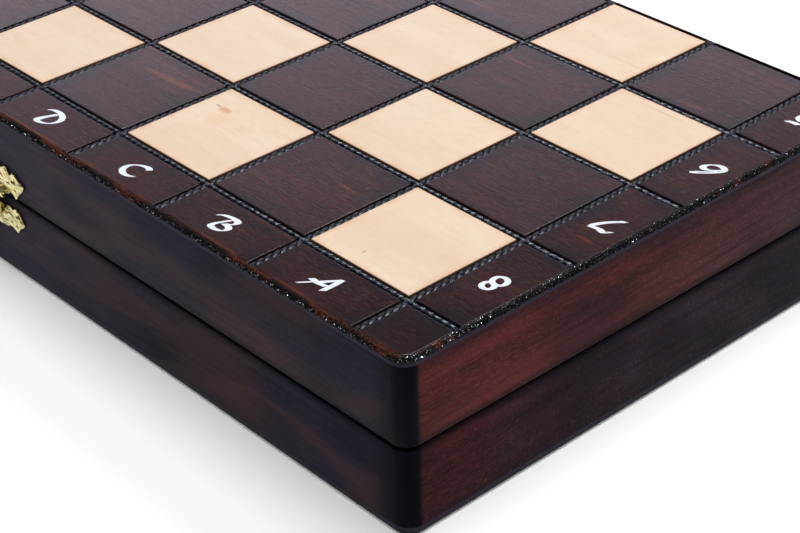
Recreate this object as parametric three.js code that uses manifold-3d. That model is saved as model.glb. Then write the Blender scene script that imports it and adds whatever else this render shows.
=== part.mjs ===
// Folding wooden chess board that closes into a storage case, with its clasp, hinges and chessmen.
// Millimetres, +Z up. The closed case stands on the lower playing face at z = 0, centred on the
// origin. The clasp is on -Y, the hinges on +Y, and the long side runs along X.

import * as THREE from 'three';
import { mergeVertices } from 'three/addons/utils/BufferGeometryUtils.js';
import Module from 'manifold-3d';

const wasm = await Module();
wasm.setup();

// ---- Driving dimensions ----

const SQUARE = 40;
const BORDER = 19;
const FILES = 8;
const RANKS_PER_HALF = 4;
const LENGTH = FILES * SQUARE + 2 * BORDER;
const DEPTH = RANKS_PER_HALF * SQUARE + BORDER;
const HALF_HEIGHT = 27;

const PANEL = 4;
const PANEL_EDGE_RADIUS = 1.6;
const WALL = 8;
const CORNER_RADIUS = 5;
const CORNER_STEPS = 5;
const SEAM_GAP = 0.4;
const FIT_GAP = 0.05;
const CUT_GAP = 0.3;

const LINER = 1;
const INSERT = 12;
const LINER_TOP = PANEL + FIT_GAP + LINER;
const INSERT_BOTTOM = LINER_TOP + FIT_GAP;

const COLUMN_PITCH = 41;
const COLUMN_SHIFT = COLUMN_PITCH / 4;
const BASE_LINE = 74;
const POCKET_CLEARANCE = 0.6;

const HINGE_X = 110;
const HINGE_LENGTH = 26;
const HINGE_AXIS_OUT = 0.2;
const KNUCKLE_RADIUS = 2.6;
const KNUCKLE_GAP = 0.4;
const LEAF_THICKNESS = 0.9;
const LEAF_WIDTH = 7;
const PIN_RADIUS = 1;
const PIN_BORE_RADIUS = 1.2;

const CLASP_PLATE = 0.7;
const CLASP_AXIS_OUT = 1.5;
const CLASP_AXIS_UP = 1.4;
const CLASP_KNUCKLE_RADIUS = 1.3;
const CLASP_PIN_RADIUS = 0.5;
const CLASP_BORE_RADIUS = 0.65;
const CLASP_KNUCKLE_REACH = 6;
const HASP_KNUCKLE_HALF = 2;
const HASP_HALF_WIDTH = 3.6;
const HASP_LENGTH = 9.6;
const HASP_THICKNESS = 0.6;
const HASP_BACK_OUT = 1.8;
const CATCH_RADIUS = 2;
const CATCH_OUT = 1.4;
const NAIL_X = 10.4;
const NAIL_FROM_SEAM = 6;
const NAIL_RADIUS = 0.6;
const NAIL_HEAD_RADIUS = 1.3;
const NAIL_HEAD = 0.6;
const NAIL_DEPTH = 5;
const NAIL_DOME = 0.7;
const HASP_CORNER = 1.4;

const ROUND_STEPS = 12;
const NAIL_STEPS = 8;
const MERGE_DISTANCE = 1e-4;
const THROUGH = [-9, 9];

const FRONT_Y = -DEPTH / 2;
const BACK_Y = DEPTH / 2;
const SEAM_Z = HALF_HEIGHT;

// Chessmen: base radius, height and turned outline, each outline point as [radius, height].
const KING = {
  radius: 13,
  height: 65,
  outline: [[13, 0], [13, 6], [8.5, 11], [5.2, 22], [5.2, 38], [9, 42], [6.5, 45], [9.2, 57], [2.5, 60],
    [2.5, 65]],
};
const QUEEN = {
  radius: 12.5,
  height: 58,
  outline: [[12.5, 0], [12.5, 6], [8, 11], [5, 20], [5, 34], [8.6, 38], [6, 41], [9, 52], [3, 54], [3, 58]],
};
const BISHOP = {
  radius: 11.5,
  height: 51,
  outline: [[11.5, 0], [11.5, 5.5], [7.2, 10], [4.4, 19], [4.4, 30], [7.6, 33], [5, 36], [7, 41], [2.4, 48],
    [2.4, 51]],
};
const ROOK = {
  radius: 11.5,
  height: 41,
  outline: [[11.5, 0], [11.5, 5.5], [8, 10], [6.2, 18], [6.2, 27], [9, 31], [9, 41]],
};
const PAWN = {
  radius: 10.5,
  height: 36,
  outline: [[10.5, 0], [10.5, 5], [6.5, 9], [3.8, 20], [7, 23], [5, 26], [7, 30], [5, 35], [2, 36]],
};
const KNIGHT = {
  radius: 11.5,
  height: 47,
  outline: [[11.5, 0], [11.5, 5.5], [8.2, 10], [8.2, 14]],
  headThickness: 11,
  head: [[-8, 12], [8, 12], [8.5, 26], [6, 38], [3, 43], [2, 47], [-1, 43], [-10, 35], [-10, 31], [-3, 30],
    [-7, 20]],
};

const OFFICERS = [
  ['rook_a', ROOK],
  ['knight_b', KNIGHT],
  ['bishop_c', BISHOP],
  ['queen', QUEEN],
  ['king', KING],
  ['bishop_f', BISHOP],
  ['knight_g', KNIGHT],
  ['rook_h', ROOK],
];
const FILE_LETTERS = 'abcdefgh';

// ---- Materials ----

function finish(colour, roughness, metalness = 0) {
  return new THREE.MeshStandardMaterial({ color: colour, roughness, metalness });
}

const caseWood = () => finish(0x3a2220, 0.42);
const boardWood = () => finish(0x45302f, 0.35);
const lightWood = () => finish(0xe6cfa6, 0.4);
const darkWood = () => finish(0x4a2a20, 0.38);
const felt = () => finish(0x2c5a3a, 0.95);
const foam = () => finish(0x2a2c30, 0.95);
const brass = () => finish(0xd9c27a, 0.28, 1);

// ---- Solids ----

function withoutSlivers(geometry) {
  const plain = geometry.clone();
  plain.deleteAttribute('normal');
  plain.deleteAttribute('uv');
  const merged = mergeVertices(plain, MERGE_DISTANCE);
  const index = merged.index.array;
  const kept = [];
  for (let i = 0; i < index.length; i += 3) {
    const [a, b, c] = [index[i], index[i + 1], index[i + 2]];
    if (a !== b && b !== c && c !== a) kept.push(a, b, c);
  }
  merged.setIndex(kept);
  return merged;
}

function toSolid(geometry) {
  const plain = withoutSlivers(geometry);
  const vertProperties = new Float32Array(plain.attributes.position.array);
  const triVerts = new Uint32Array(plain.index.array);
  return new wasm.Manifold(new wasm.Mesh({ numProp: 3, vertProperties, triVerts }));
}

function toGeometry(solid) {
  const { vertProperties, triVerts } = solid.getMesh();
  const geometry = new THREE.BufferGeometry();
  geometry.setAttribute('position', new THREE.BufferAttribute(vertProperties, 3));
  geometry.setIndex(new THREE.BufferAttribute(triVerts, 1));
  geometry.computeVertexNormals();
  return geometry;
}

function block([x0, x1], [y0, y1], [z0, z1]) {
  const geometry = new THREE.BoxGeometry(x1 - x0, y1 - y0, z1 - z0);
  return geometry.translate((x0 + x1) / 2, (y0 + y1) / 2, (z0 + z1) / 2);
}

function rodAlongX([x0, x1], radius, y, z) {
  const geometry = new THREE.CylinderGeometry(radius, radius, x1 - x0, ROUND_STEPS);
  return geometry.rotateZ(Math.PI / 2).translate((x0 + x1) / 2, y, z);
}

function rodAlongY([y0, y1], radius, x, z) {
  const geometry = new THREE.CylinderGeometry(radius, radius, y1 - y0, ROUND_STEPS);
  return geometry.translate(x, (y0 + y1) / 2, z);
}

function outlineShape(points) {
  return new THREE.Shape(points.map(([x, y]) => new THREE.Vector2(x, y)));
}

function prism(shape, bottom, top) {
  const geometry = new THREE.ExtrudeGeometry(shape, { depth: top - bottom, bevelEnabled: false });
  return geometry.translate(0, 0, bottom);
}

function piece(name, geometry, material) {
  const mesh = new THREE.Mesh(geometry, material);
  mesh.name = name;
  return mesh;
}

// ---- Board panel: a rounded rectangle whose playing side has a rounded edge ----

function roundedRectangle(inset) {
  const points = [];
  const radius = CORNER_RADIUS - inset;
  const centreX = LENGTH / 2 - CORNER_RADIUS;
  const centreY = DEPTH / 2 - CORNER_RADIUS;
  const corners = [[1, 1], [-1, 1], [-1, -1], [1, -1]];
  corners.forEach(([sideX, sideY], quarter) => {
    for (let step = 0; step <= CORNER_STEPS; step += 1) {
      const angle = (Math.PI / 2) * (quarter + step / CORNER_STEPS);
      points.push([sideX * centreX + radius * Math.cos(angle), sideY * centreY + radius * Math.sin(angle)]);
    }
  });
  return points;
}

function boardPanel() {
  const rise = (fraction) => PANEL_EDGE_RADIUS * (1 - Math.cos((fraction * Math.PI) / 2));
  const inset = (fraction) => PANEL_EDGE_RADIUS * (1 - Math.sin((fraction * Math.PI) / 2));
  const levels = [0, 0.5, 1].map((fraction) => ({ z: rise(fraction), inset: inset(fraction) }));
  levels.push({ z: PANEL, inset: 0 });
  const rings = levels.map((level) => roundedRectangle(level.inset).map(([x, y]) => [x, y, level.z]));
  const count = rings[0].length;
  const top = rings.length - 1;
  const index = [];
  for (let ring = 0; ring < top; ring += 1) {
    for (let i = 0; i < count; i += 1) {
      const a = ring * count + i;
      const b = ring * count + ((i + 1) % count);
      index.push(a, b, b + count, a, b + count, a + count);
    }
  }
  for (let i = 1; i < count - 1; i += 1) {
    index.push(0, i + 1, i);
    index.push(top * count, top * count + i, top * count + i + 1);
  }
  const geometry = new THREE.BufferGeometry();
  geometry.setAttribute('position', new THREE.Float32BufferAttribute(rings.flat(2), 3));
  geometry.setIndex(index);
  geometry.computeVertexNormals();
  return geometry;
}

// ---- Walls: mitred at the corners and rounded outside ----

function wallShape(halfRun, outer, clear) {
  // A wall along X whose outer face is at y = -outer, mitred towards +Y at both ends.
  const cornerX = halfRun - CORNER_RADIUS;
  const cornerY = -outer + CORNER_RADIUS;
  const shift = clear * Math.SQRT2;
  const points = [];
  for (let step = 0; step <= CORNER_STEPS; step += 1) {
    const angle = -Math.PI / 2 + (Math.PI / 4) * (step / CORNER_STEPS);
    points.push([cornerX + CORNER_RADIUS * Math.cos(angle) - (step * shift) / CORNER_STEPS,
      cornerY + CORNER_RADIUS * Math.sin(angle)]);
  }
  points.push([halfRun - WALL - shift, -outer + WALL]);
  const mirrored = points.map(([x, y]) => [-x, y]).reverse();
  return outlineShape([...points, ...mirrored]);
}

const WALL_BOTTOM = PANEL + FIT_GAP;
const WALL_TOP = SEAM_Z - SEAM_GAP / 2;

function frontWall() {
  let wall = toSolid(prism(wallShape(LENGTH / 2, DEPTH / 2, FIT_GAP), WALL_BOTTOM, WALL_TOP));
  for (const side of [-1, 1]) {
    const reach = [FRONT_Y - 1, FRONT_Y + NAIL_DEPTH + CUT_GAP];
    const hole = rodAlongY(reach, NAIL_RADIUS + CUT_GAP, side * NAIL_X, SEAM_Z - NAIL_FROM_SEAM);
    wall = wall.subtract(toSolid(hole));
  }
  return toGeometry(wall);
}

function backWall() {
  const plain = prism(wallShape(LENGTH / 2, DEPTH / 2, FIT_GAP), WALL_BOTTOM, WALL_TOP).rotateZ(Math.PI);
  let wall = toSolid(plain);
  for (const side of [-1, 1]) {
    const run = [side * HINGE_X - HINGE_LENGTH / 2 - CUT_GAP, side * HINGE_X + HINGE_LENGTH / 2 + CUT_GAP];
    const leafBed = [WALL_TOP - LEAF_THICKNESS - CUT_GAP, WALL_TOP + 1];
    const mortise = block(run, [BACK_Y - LEAF_WIDTH - CUT_GAP, BACK_Y + 1], leafBed);
    const round = rodAlongX(run, KNUCKLE_RADIUS + CUT_GAP, BACK_Y + HINGE_AXIS_OUT, SEAM_Z);
    wall = wall.subtract(toSolid(mortise)).subtract(toSolid(round));
  }
  return toGeometry(wall);
}

function sideWall(side) {
  const plain = prism(wallShape(DEPTH / 2, LENGTH / 2, FIT_GAP), WALL_BOTTOM, WALL_TOP);
  return plain.rotateZ((side * Math.PI) / 2);
}

// ---- Chessmen, standing on y = 0 with the head towards +Y ----

function turned(outline) {
  const points = [[0, 0], ...outline, [0, outline.at(-1)[1]]].map(([r, h]) => new THREE.Vector2(r, h));
  return withoutSlivers(new THREE.LatheGeometry(points, ROUND_STEPS));
}

function chessman(kind) {
  const body = turned(kind.outline);
  if (!kind.head) return body;
  const head = prism(outlineShape(kind.head), -kind.headThickness / 2, kind.headThickness / 2);
  return toGeometry(toSolid(body).add(toSolid(head)));
}

function pocket(kind) {
  // Stepped opening round a lying chessman: a wide part for the foot and a narrower one for the rest.
  const upper = [...kind.outline.slice(2), ...(kind.head ?? [])];
  const footEnd = kind.outline[2][1] + POCKET_CLEARANCE;
  const wide = kind.radius + POCKET_CLEARANCE;
  const narrow = Math.max(...upper.map(([x]) => Math.abs(x))) + POCKET_CLEARANCE;
  const end = kind.height + POCKET_CLEARANCE;
  const right = [[wide, -POCKET_CLEARANCE], [wide, footEnd], [narrow, footEnd], [narrow, end]];
  const left = right.map(([x, y]) => [-x, y]).reverse();
  return [...right, ...left];
}

function menOfHalf(prefix) {
  const men = [];
  for (let column = 0; column < FILES; column += 1) {
    const x = (column - (FILES - 1) / 2) * COLUMN_PITCH + COLUMN_SHIFT;
    const [name, kind] = OFFICERS[column];
    men.push({ name: `${prefix}_${name}`, kind, x, y: -BASE_LINE, turn: 0 });
    men.push({ name: `${prefix}_pawn_${FILE_LETTERS[column]}`, kind: PAWN, x, y: BASE_LINE, turn: Math.PI });
  }
  return men;
}

function insert(men) {
  const halfX = LENGTH / 2 - WALL - CUT_GAP;
  const halfY = DEPTH / 2 - WALL - CUT_GAP;
  const top = INSERT_BOTTOM + INSERT;
  let slab = toSolid(block([-halfX, halfX], [-halfY, halfY], [INSERT_BOTTOM, top]));
  for (const man of men) {
    const hole = prism(outlineShape(pocket(man.kind)), INSERT_BOTTOM - 1, top + 1);
    slab = slab.subtract(toSolid(hole.rotateZ(man.turn).translate(man.x, man.y, 0)));
  }
  return toGeometry(slab);
}

function liner() {
  const halfX = LENGTH / 2 - WALL - CUT_GAP;
  const halfY = DEPTH / 2 - WALL - CUT_GAP;
  return block([-halfX, halfX], [-halfY, halfY], [PANEL + FIT_GAP, LINER_TOP]);
}

// ---- One half of the case, playing face down ----

function caseHalf(prefix, menPrefix, menWood, [leftName, rightName]) {
  const half = new THREE.Group();
  const men = menOfHalf(menPrefix);
  half.add(piece(`${prefix}_board_panel`, boardPanel(), boardWood()));
  half.add(piece(`${prefix}_front_wall`, frontWall(), caseWood()));
  half.add(piece(`${prefix}_back_wall`, backWall(), caseWood()));
  half.add(piece(`${prefix}_${leftName}_wall`, sideWall(-1), caseWood()));
  half.add(piece(`${prefix}_${rightName}_wall`, sideWall(1), caseWood()));
  half.add(piece(`${prefix}_liner`, liner(), felt()));
  half.add(piece(`${prefix}_insert`, insert(men), foam()));
  for (const man of men) {
    const mesh = piece(man.name, chessman(man.kind), menWood());
    mesh.position.set(man.x, man.y, LINER_TOP + 2 * FIT_GAP + man.kind.radius);
    mesh.rotation.z = man.turn;
    half.add(mesh);
  }
  return half;
}

// ---- Hinge, centred on x = 0 with its axis on y = 0, z = 0 and the case towards -Y ----

function leaf(level, ownRuns, otherRuns) {
  // level is -1 for the leaf on the lower rim and 1 for the one on the upper rim.
  const near = level * (SEAM_GAP / 2);
  const far = level * (SEAM_GAP / 2 + LEAF_THICKNESS);
  const heights = [Math.min(near, far), Math.max(near, far)];
  const half = HINGE_LENGTH / 2;
  let solid = toSolid(block([-half, half], [-LEAF_WIDTH - HINGE_AXIS_OUT, 0], heights));
  for (const run of otherRuns) {
    const wide = [run[0] - KNUCKLE_GAP, run[1] + KNUCKLE_GAP];
    solid = solid.subtract(toSolid(block(wide, [-KNUCKLE_RADIUS - CUT_GAP, 1], THROUGH)));
  }
  for (const run of ownRuns) solid = solid.add(toSolid(rodAlongX(run, KNUCKLE_RADIUS, 0, 0)));
  const bore = rodAlongX([-HINGE_LENGTH, HINGE_LENGTH], PIN_BORE_RADIUS, 0, 0);
  return toGeometry(solid.subtract(toSolid(bore)));
}

function hinge(side) {
  const half = HINGE_LENGTH / 2;
  const middle = HINGE_LENGTH / 6;
  const outer = [[-half, -middle - KNUCKLE_GAP], [middle + KNUCKLE_GAP, half]];
  const inner = [[-middle, middle]];
  const group = new THREE.Group();
  const name = side < 0 ? 'left_hinge' : 'right_hinge';
  group.add(piece(`${name}_lower_leaf`, leaf(-1, outer, inner), brass()));
  group.add(piece(`${name}_upper_leaf`, leaf(1, inner, outer), brass()));
  group.add(piece(`${name}_pin`, rodAlongX([-half, half], PIN_RADIUS, 0, 0), brass()));
  group.position.set(side * HINGE_X, BACK_Y + HINGE_AXIS_OUT, SEAM_Z);
  return group;
}

// ---- Clasp, drawn on the front face: x along the case, second value up from the seam ----

const LID_PLATE_EDGE = [[0, 1.2], [5.2, 1.2], [6.6, 0.9], [8, 2.4], [9.6, 2.4], [11, 0.8], [12.9, 3.2],
  [15.1, 5.1], [16, 7], [13.4, 8], [11.1, 9.6], [8.9, 8.3], [7.2, 10.8], [4.6, 9.4], [2.4, 10.6], [0, 10.6]];
const KEEPER_EDGE = [[0, -11.2], [4.2, -10.9], [5.6, -10], [7.3, -10.2], [9.4, -11.3], [11, -9.2],
  [13, -8], [13.8, -6.8], [12.6, -5.6], [11.8, -4.1], [9.7, -2.7], [8.1, -3.9], [6.7, -2.9], [4.6, -3.4],
  [0, -3.4]];

function claspPlate(edge) {
  const mirrored = edge.slice(1, -1).map(([x, z]) => [-x, z]).reverse();
  const sheet = prism(outlineShape([...edge, ...mirrored]), 0, CLASP_PLATE);
  let solid = toSolid(sheet.rotateX(Math.PI / 2).translate(0, -FIT_GAP, 0));
  for (const side of [-1, 1]) {
    const height = Math.sign(edge[1][1]) * NAIL_FROM_SEAM;
    solid = solid.subtract(toSolid(rodAlongY(THROUGH, NAIL_RADIUS + CUT_GAP / 2, side * NAIL_X, height)));
  }
  return solid;
}

function lidPlate() {
  const slot = HASP_KNUCKLE_HALF + CUT_GAP;
  const clear = CLASP_AXIS_UP + CLASP_KNUCKLE_RADIUS + CUT_GAP;
  let solid = claspPlate(LID_PLATE_EDGE);
  for (const [x0, x1] of [[-CLASP_KNUCKLE_REACH, -slot], [slot, CLASP_KNUCKLE_REACH]]) {
    const knuckle = rodAlongX([x0, x1], CLASP_KNUCKLE_RADIUS, -CLASP_AXIS_OUT, CLASP_AXIS_UP);
    solid = solid.add(toSolid(knuckle));
  }
  const bore = rodAlongX(THROUGH, CLASP_BORE_RADIUS, -CLASP_AXIS_OUT, CLASP_AXIS_UP);
  const gap = block([-slot, slot], THROUGH, [0, clear]);
  return toGeometry(solid.subtract(toSolid(gap)).subtract(toSolid(bore)));
}

function keeper() {
  const crown = [[CATCH_RADIUS / 2, CATCH_OUT], [0, CATCH_OUT]];
  const catchPoints = [[0, 0], [CATCH_RADIUS, 0], [CATCH_RADIUS, CLASP_PLATE], ...crown];
  const dome = new THREE.LatheGeometry(catchPoints.map(([r, h]) => new THREE.Vector2(r, h)), ROUND_STEPS);
  const middle = (KEEPER_EDGE[0][1] + KEEPER_EDGE.at(-1)[1]) / 2;
  dome.rotateX(Math.PI).translate(0, -FIT_GAP, middle);
  return toGeometry(claspPlate(KEEPER_EDGE).add(toSolid(dome)));
}

function hasp() {
  const front = HASP_BACK_OUT + HASP_THICKNESS;
  const knuckle = rodAlongX([-HASP_KNUCKLE_HALF, HASP_KNUCKLE_HALF], CLASP_KNUCKLE_RADIUS, 0, 0);
  const tongueDepth = [CLASP_AXIS_OUT - front, CLASP_AXIS_OUT - HASP_BACK_OUT];
  const below = -CLASP_KNUCKLE_RADIUS - CUT_GAP;
  const neck = block([-HASP_KNUCKLE_HALF, HASP_KNUCKLE_HALF], tongueDepth, [below - 1, 0]);
  const shoulder = below - HASP_CORNER;
  const end = HASP_CORNER - HASP_LENGTH;
  const endHalf = HASP_HALF_WIDTH - HASP_CORNER;
  const side = [[HASP_KNUCKLE_HALF, below], [HASP_HALF_WIDTH, shoulder], [HASP_HALF_WIDTH, end],
    [endHalf, -HASP_LENGTH]];
  const outline = [...side.map(([x, z]) => [-x, z]), ...side.toReversed()];
  const tongue = prism(outlineShape(outline), -tongueDepth[1], -tongueDepth[0]).rotateX(Math.PI / 2);
  const solid = toSolid(knuckle).add(toSolid(neck)).add(toSolid(tongue));
  return toGeometry(solid.subtract(toSolid(rodAlongX(THROUGH, CLASP_BORE_RADIUS, 0, 0))));
}

function nail() {
  // Head outside the plate, shank through it into the wall; drawn along +Y from the plate's face.
  const rim = [NAIL_HEAD_RADIUS * NAIL_DOME, -NAIL_HEAD * NAIL_DOME];
  const head = [[0, -NAIL_HEAD], rim, [NAIL_HEAD_RADIUS, 0]];
  const shank = [[NAIL_RADIUS, 0], [NAIL_RADIUS, NAIL_DEPTH - 1], [0, NAIL_DEPTH]];
  const points = [...head, ...shank].map(([r, h]) => new THREE.Vector2(r, h));
  return withoutSlivers(new THREE.LatheGeometry(points, NAIL_STEPS));
}

function clasp() {
  const group = new THREE.Group();
  group.add(piece('clasp_lid_plate', lidPlate(), brass()));
  group.add(piece('clasp_keeper', keeper(), brass()));
  const hook = piece('clasp_hasp', hasp(), brass());
  hook.position.set(0, -CLASP_AXIS_OUT, CLASP_AXIS_UP);
  group.add(hook);
  const pinRun = [-CLASP_KNUCKLE_REACH, CLASP_KNUCKLE_REACH];
  group.add(piece('clasp_pin', rodAlongX(pinRun, CLASP_PIN_RADIUS, -CLASP_AXIS_OUT, CLASP_AXIS_UP), brass()));
  for (const [where, level] of [['lid', 1], ['keeper', -1]]) {
    for (const [hand, side] of [['left', -1], ['right', 1]]) {
      const mesh = piece(`${where}_nail_${hand}`, nail(), brass());
      mesh.position.set(side * NAIL_X, -CLASP_PLATE - 2 * FIT_GAP, level * NAIL_FROM_SEAM);
      group.add(mesh);
    }
  }
  group.position.set(0, FRONT_Y, SEAM_Z);
  return group;
}

// ---- Assembly: the upper half is the lower one turned over about the Y axis, so its sides change hands ----

const chessSet = new THREE.Group();
chessSet.add(caseHalf('lower', 'dark', darkWood, ['left', 'right']));
const upperHalf = caseHalf('upper', 'light', lightWood, ['right', 'left']);
upperHalf.rotation.y = Math.PI;
upperHalf.position.z = 2 * SEAM_Z;
chessSet.add(upperHalf);
chessSet.add(hinge(-1));
chessSet.add(hinge(1));
chessSet.add(clasp());

export default chessSet;
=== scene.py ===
"""Looks of a folding chess board with its chessmen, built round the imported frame. Metres, +Z up."""

import math
import random

import bmesh
import bpy
from mathutils import Matrix, Vector, noise


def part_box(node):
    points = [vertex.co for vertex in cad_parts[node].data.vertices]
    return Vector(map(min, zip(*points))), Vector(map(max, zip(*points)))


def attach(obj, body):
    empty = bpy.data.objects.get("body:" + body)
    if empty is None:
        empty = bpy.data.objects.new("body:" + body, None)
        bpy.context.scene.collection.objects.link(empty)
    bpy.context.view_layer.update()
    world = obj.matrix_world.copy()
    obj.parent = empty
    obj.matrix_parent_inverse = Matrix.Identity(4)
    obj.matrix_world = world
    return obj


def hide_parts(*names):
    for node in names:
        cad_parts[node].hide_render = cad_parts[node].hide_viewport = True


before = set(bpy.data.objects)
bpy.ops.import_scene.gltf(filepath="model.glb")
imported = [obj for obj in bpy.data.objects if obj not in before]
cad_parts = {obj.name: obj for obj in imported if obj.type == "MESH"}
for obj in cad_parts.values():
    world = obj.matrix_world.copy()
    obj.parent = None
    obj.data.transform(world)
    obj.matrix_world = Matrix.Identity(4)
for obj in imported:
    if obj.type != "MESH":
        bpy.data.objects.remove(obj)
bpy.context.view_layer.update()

# ---- Sizes, taken from the frame where the frame has them ----

MM = 0.001
PANEL_LOW, PANEL_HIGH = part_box("upper_board_panel")
LENGTH = PANEL_HIGH.x - PANEL_LOW.x
DEPTH = PANEL_HIGH.y - PANEL_LOW.y
PANEL = PANEL_HIGH.z - PANEL_LOW.z
TOP_Z = PANEL_HIGH.z
SEAM_Z = TOP_Z / 2
SQUARE = 40 * MM
BORDER = (LENGTH - 8 * SQUARE) / 2
CORNER_RADIUS = 5 * MM
WALL = 8 * MM

GROOVE = 2.5 * MM
GROOVE_DEPTH = 0.75 * MM
TILE_EDGE = 0.3 * MM
FLAT_START = 0.1 * MM
TILE_ROOT = 0.1 * MM
TILE_CORNER = 0.5 * MM
EDGE_BAND = 1.35 * MM
CELL_OUTER_CORNER = 3.6 * MM
EDGE_RADIUS = 1.3 * MM
LIP = 2.4 * MM

CORD_PITCH = SQUARE / 15
CORD_LEAN = math.radians(24)
CORD_HALF_LENGTH = 2.1 * MM
CORD_HALF_WIDTH = 0.66 * MM
CORD_HALF_HEIGHT = 0.5 * MM
CORD_WOBBLE = 0.06
CORD_SIZES = (0.93, 1.05)
CORD_SINK = (0.06, 0.14)
CORD_END = 0.4 * MM

RIM_ROUND = 0.8 * MM
SHARP = 32

BODIES = {"lower": "lower_box", "upper": "upper_box"}
FILES = "ABCDEFGH"


# ---- Mesh helpers ----

def mm(points):
    """Points given in millimetres, in metres."""
    return [tuple(value * MM for value in point) for point in points]


def circle(count):
    """Cosines and sines at equal steps round a full turn."""
    angles = [2 * math.pi * i / count for i in range(count)]
    return [(math.cos(angle), math.sin(angle)) for angle in angles]


def link_object(name, data):
    obj = bpy.data.objects.new(name, data)
    bpy.context.scene.collection.objects.link(obj)
    return obj


def evaluated_mesh(obj):
    depsgraph = bpy.context.evaluated_depsgraph_get()
    return bpy.data.meshes.new_from_object(obj.evaluated_get(depsgraph))


def add_object(name, mesh, material, body, replaces=(), sharp=SHARP):
    """A finished piece: smooth-shaded, with sharp edges over `sharp` degrees, riding on a body."""
    mesh.polygons.foreach_set("use_smooth", [True] * len(mesh.polygons))
    mesh.set_sharp_from_angle(angle=math.radians(sharp))
    mesh.materials.clear()
    mesh.materials.append(material)
    obj = link_object(name, mesh)
    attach(obj, body)
    if replaces:
        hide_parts(*replaces)
    return obj


class Builder:
    """Collects vertices and faces of closed shapes that make one piece."""

    def __init__(self, place=None):
        self.place = place or Matrix.Identity(4)
        self.points = []
        self.faces = []

    def add(self, points, faces, place=None):
        first = len(self.points)
        move = self.place @ place if place else self.place
        self.points.extend(move @ Vector(p) for p in points)
        self.faces.extend([first + i for i in face] for face in faces)

    def rings(self, rings, place=None, closed_ends=True):
        """Skins equal rings of points; the first ring faces down and the last one up."""
        count = len(rings[0])
        points = [p for ring in rings for p in ring]
        faces = []
        for level in range(len(rings) - 1):
            for i in range(count):
                a = level * count + i
                b = level * count + (i + 1) % count
                faces.append((a, b, b + count, a + count))
        if closed_ends:
            last = (len(rings) - 1) * count
            faces.append(tuple(reversed(range(count))))
            faces.append(tuple(range(last, last + count)))
        self.add(points, faces, place)

    def mesh(self, name):
        mesh = bpy.data.meshes.new(name)
        mesh.from_pydata([tuple(p) for p in self.points], [], self.faces)
        mesh.validate()
        return mesh


def rounded_rectangle(half_x, half_y, radii, steps=4):
    """Anticlockwise outline centred on the origin; radii is one radius or four, from the +x +y corner on."""
    outline = []
    radii = radii if isinstance(radii, (list, tuple)) else [radii] * 4
    for quarter, (side_x, side_y) in enumerate(((1, 1), (-1, 1), (-1, -1), (1, -1))):
        radius = radii[quarter]
        for step in range(steps + 1):
            angle = math.pi / 2 * (quarter + step / steps)
            outline.append((side_x * (half_x - radius) + radius * math.cos(angle),
                            side_y * (half_y - radius) + radius * math.sin(angle)))
    return outline


def quarter_round(radius, steps=3):
    """(inset, drop) pairs of a rounded top edge, from the side up to the top face."""
    angles = [math.pi / 2 * i / steps for i in range(steps + 1)]
    return [(radius * (1 - math.cos(a)), radius * (1 - math.sin(a))) for a in angles]


def carve(obj, cutters):
    """Cuts closed cutter objects out of a piece and removes them."""
    for cutter in cutters:
        cut = obj.modifiers.new("cut", "BOOLEAN")
        cut.object = cutter
        cut.operation = "DIFFERENCE"
        cut.solver = "EXACT"
    carved = evaluated_mesh(obj)
    obj.modifiers.clear()
    obj.data = carved
    carved.set_sharp_from_angle(angle=math.radians(SHARP))
    for cutter in cutters:
        bpy.data.objects.remove(cutter)
    return obj


def cutter_object(builder):
    return link_object("cutter", builder.mesh("cutter"))


def block_rings(low, high):
    """Two square rings that make a plain block, for cutters."""
    corners = [(low[0], low[1]), (high[0], low[1]), (high[0], high[1]), (low[0], high[1])]
    return [[(x, y, z) for x, y in corners] for z in (low[2], high[2])]


def half_place(half):
    """Board coordinates of a half, with +y to the hinge and +z out of the board, to the row frame."""
    if half == "upper":
        return Matrix.Translation((0, 0, TOP_Z))
    return Matrix.Rotation(math.pi, 4, "Y")


# ---- Materials ----

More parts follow.
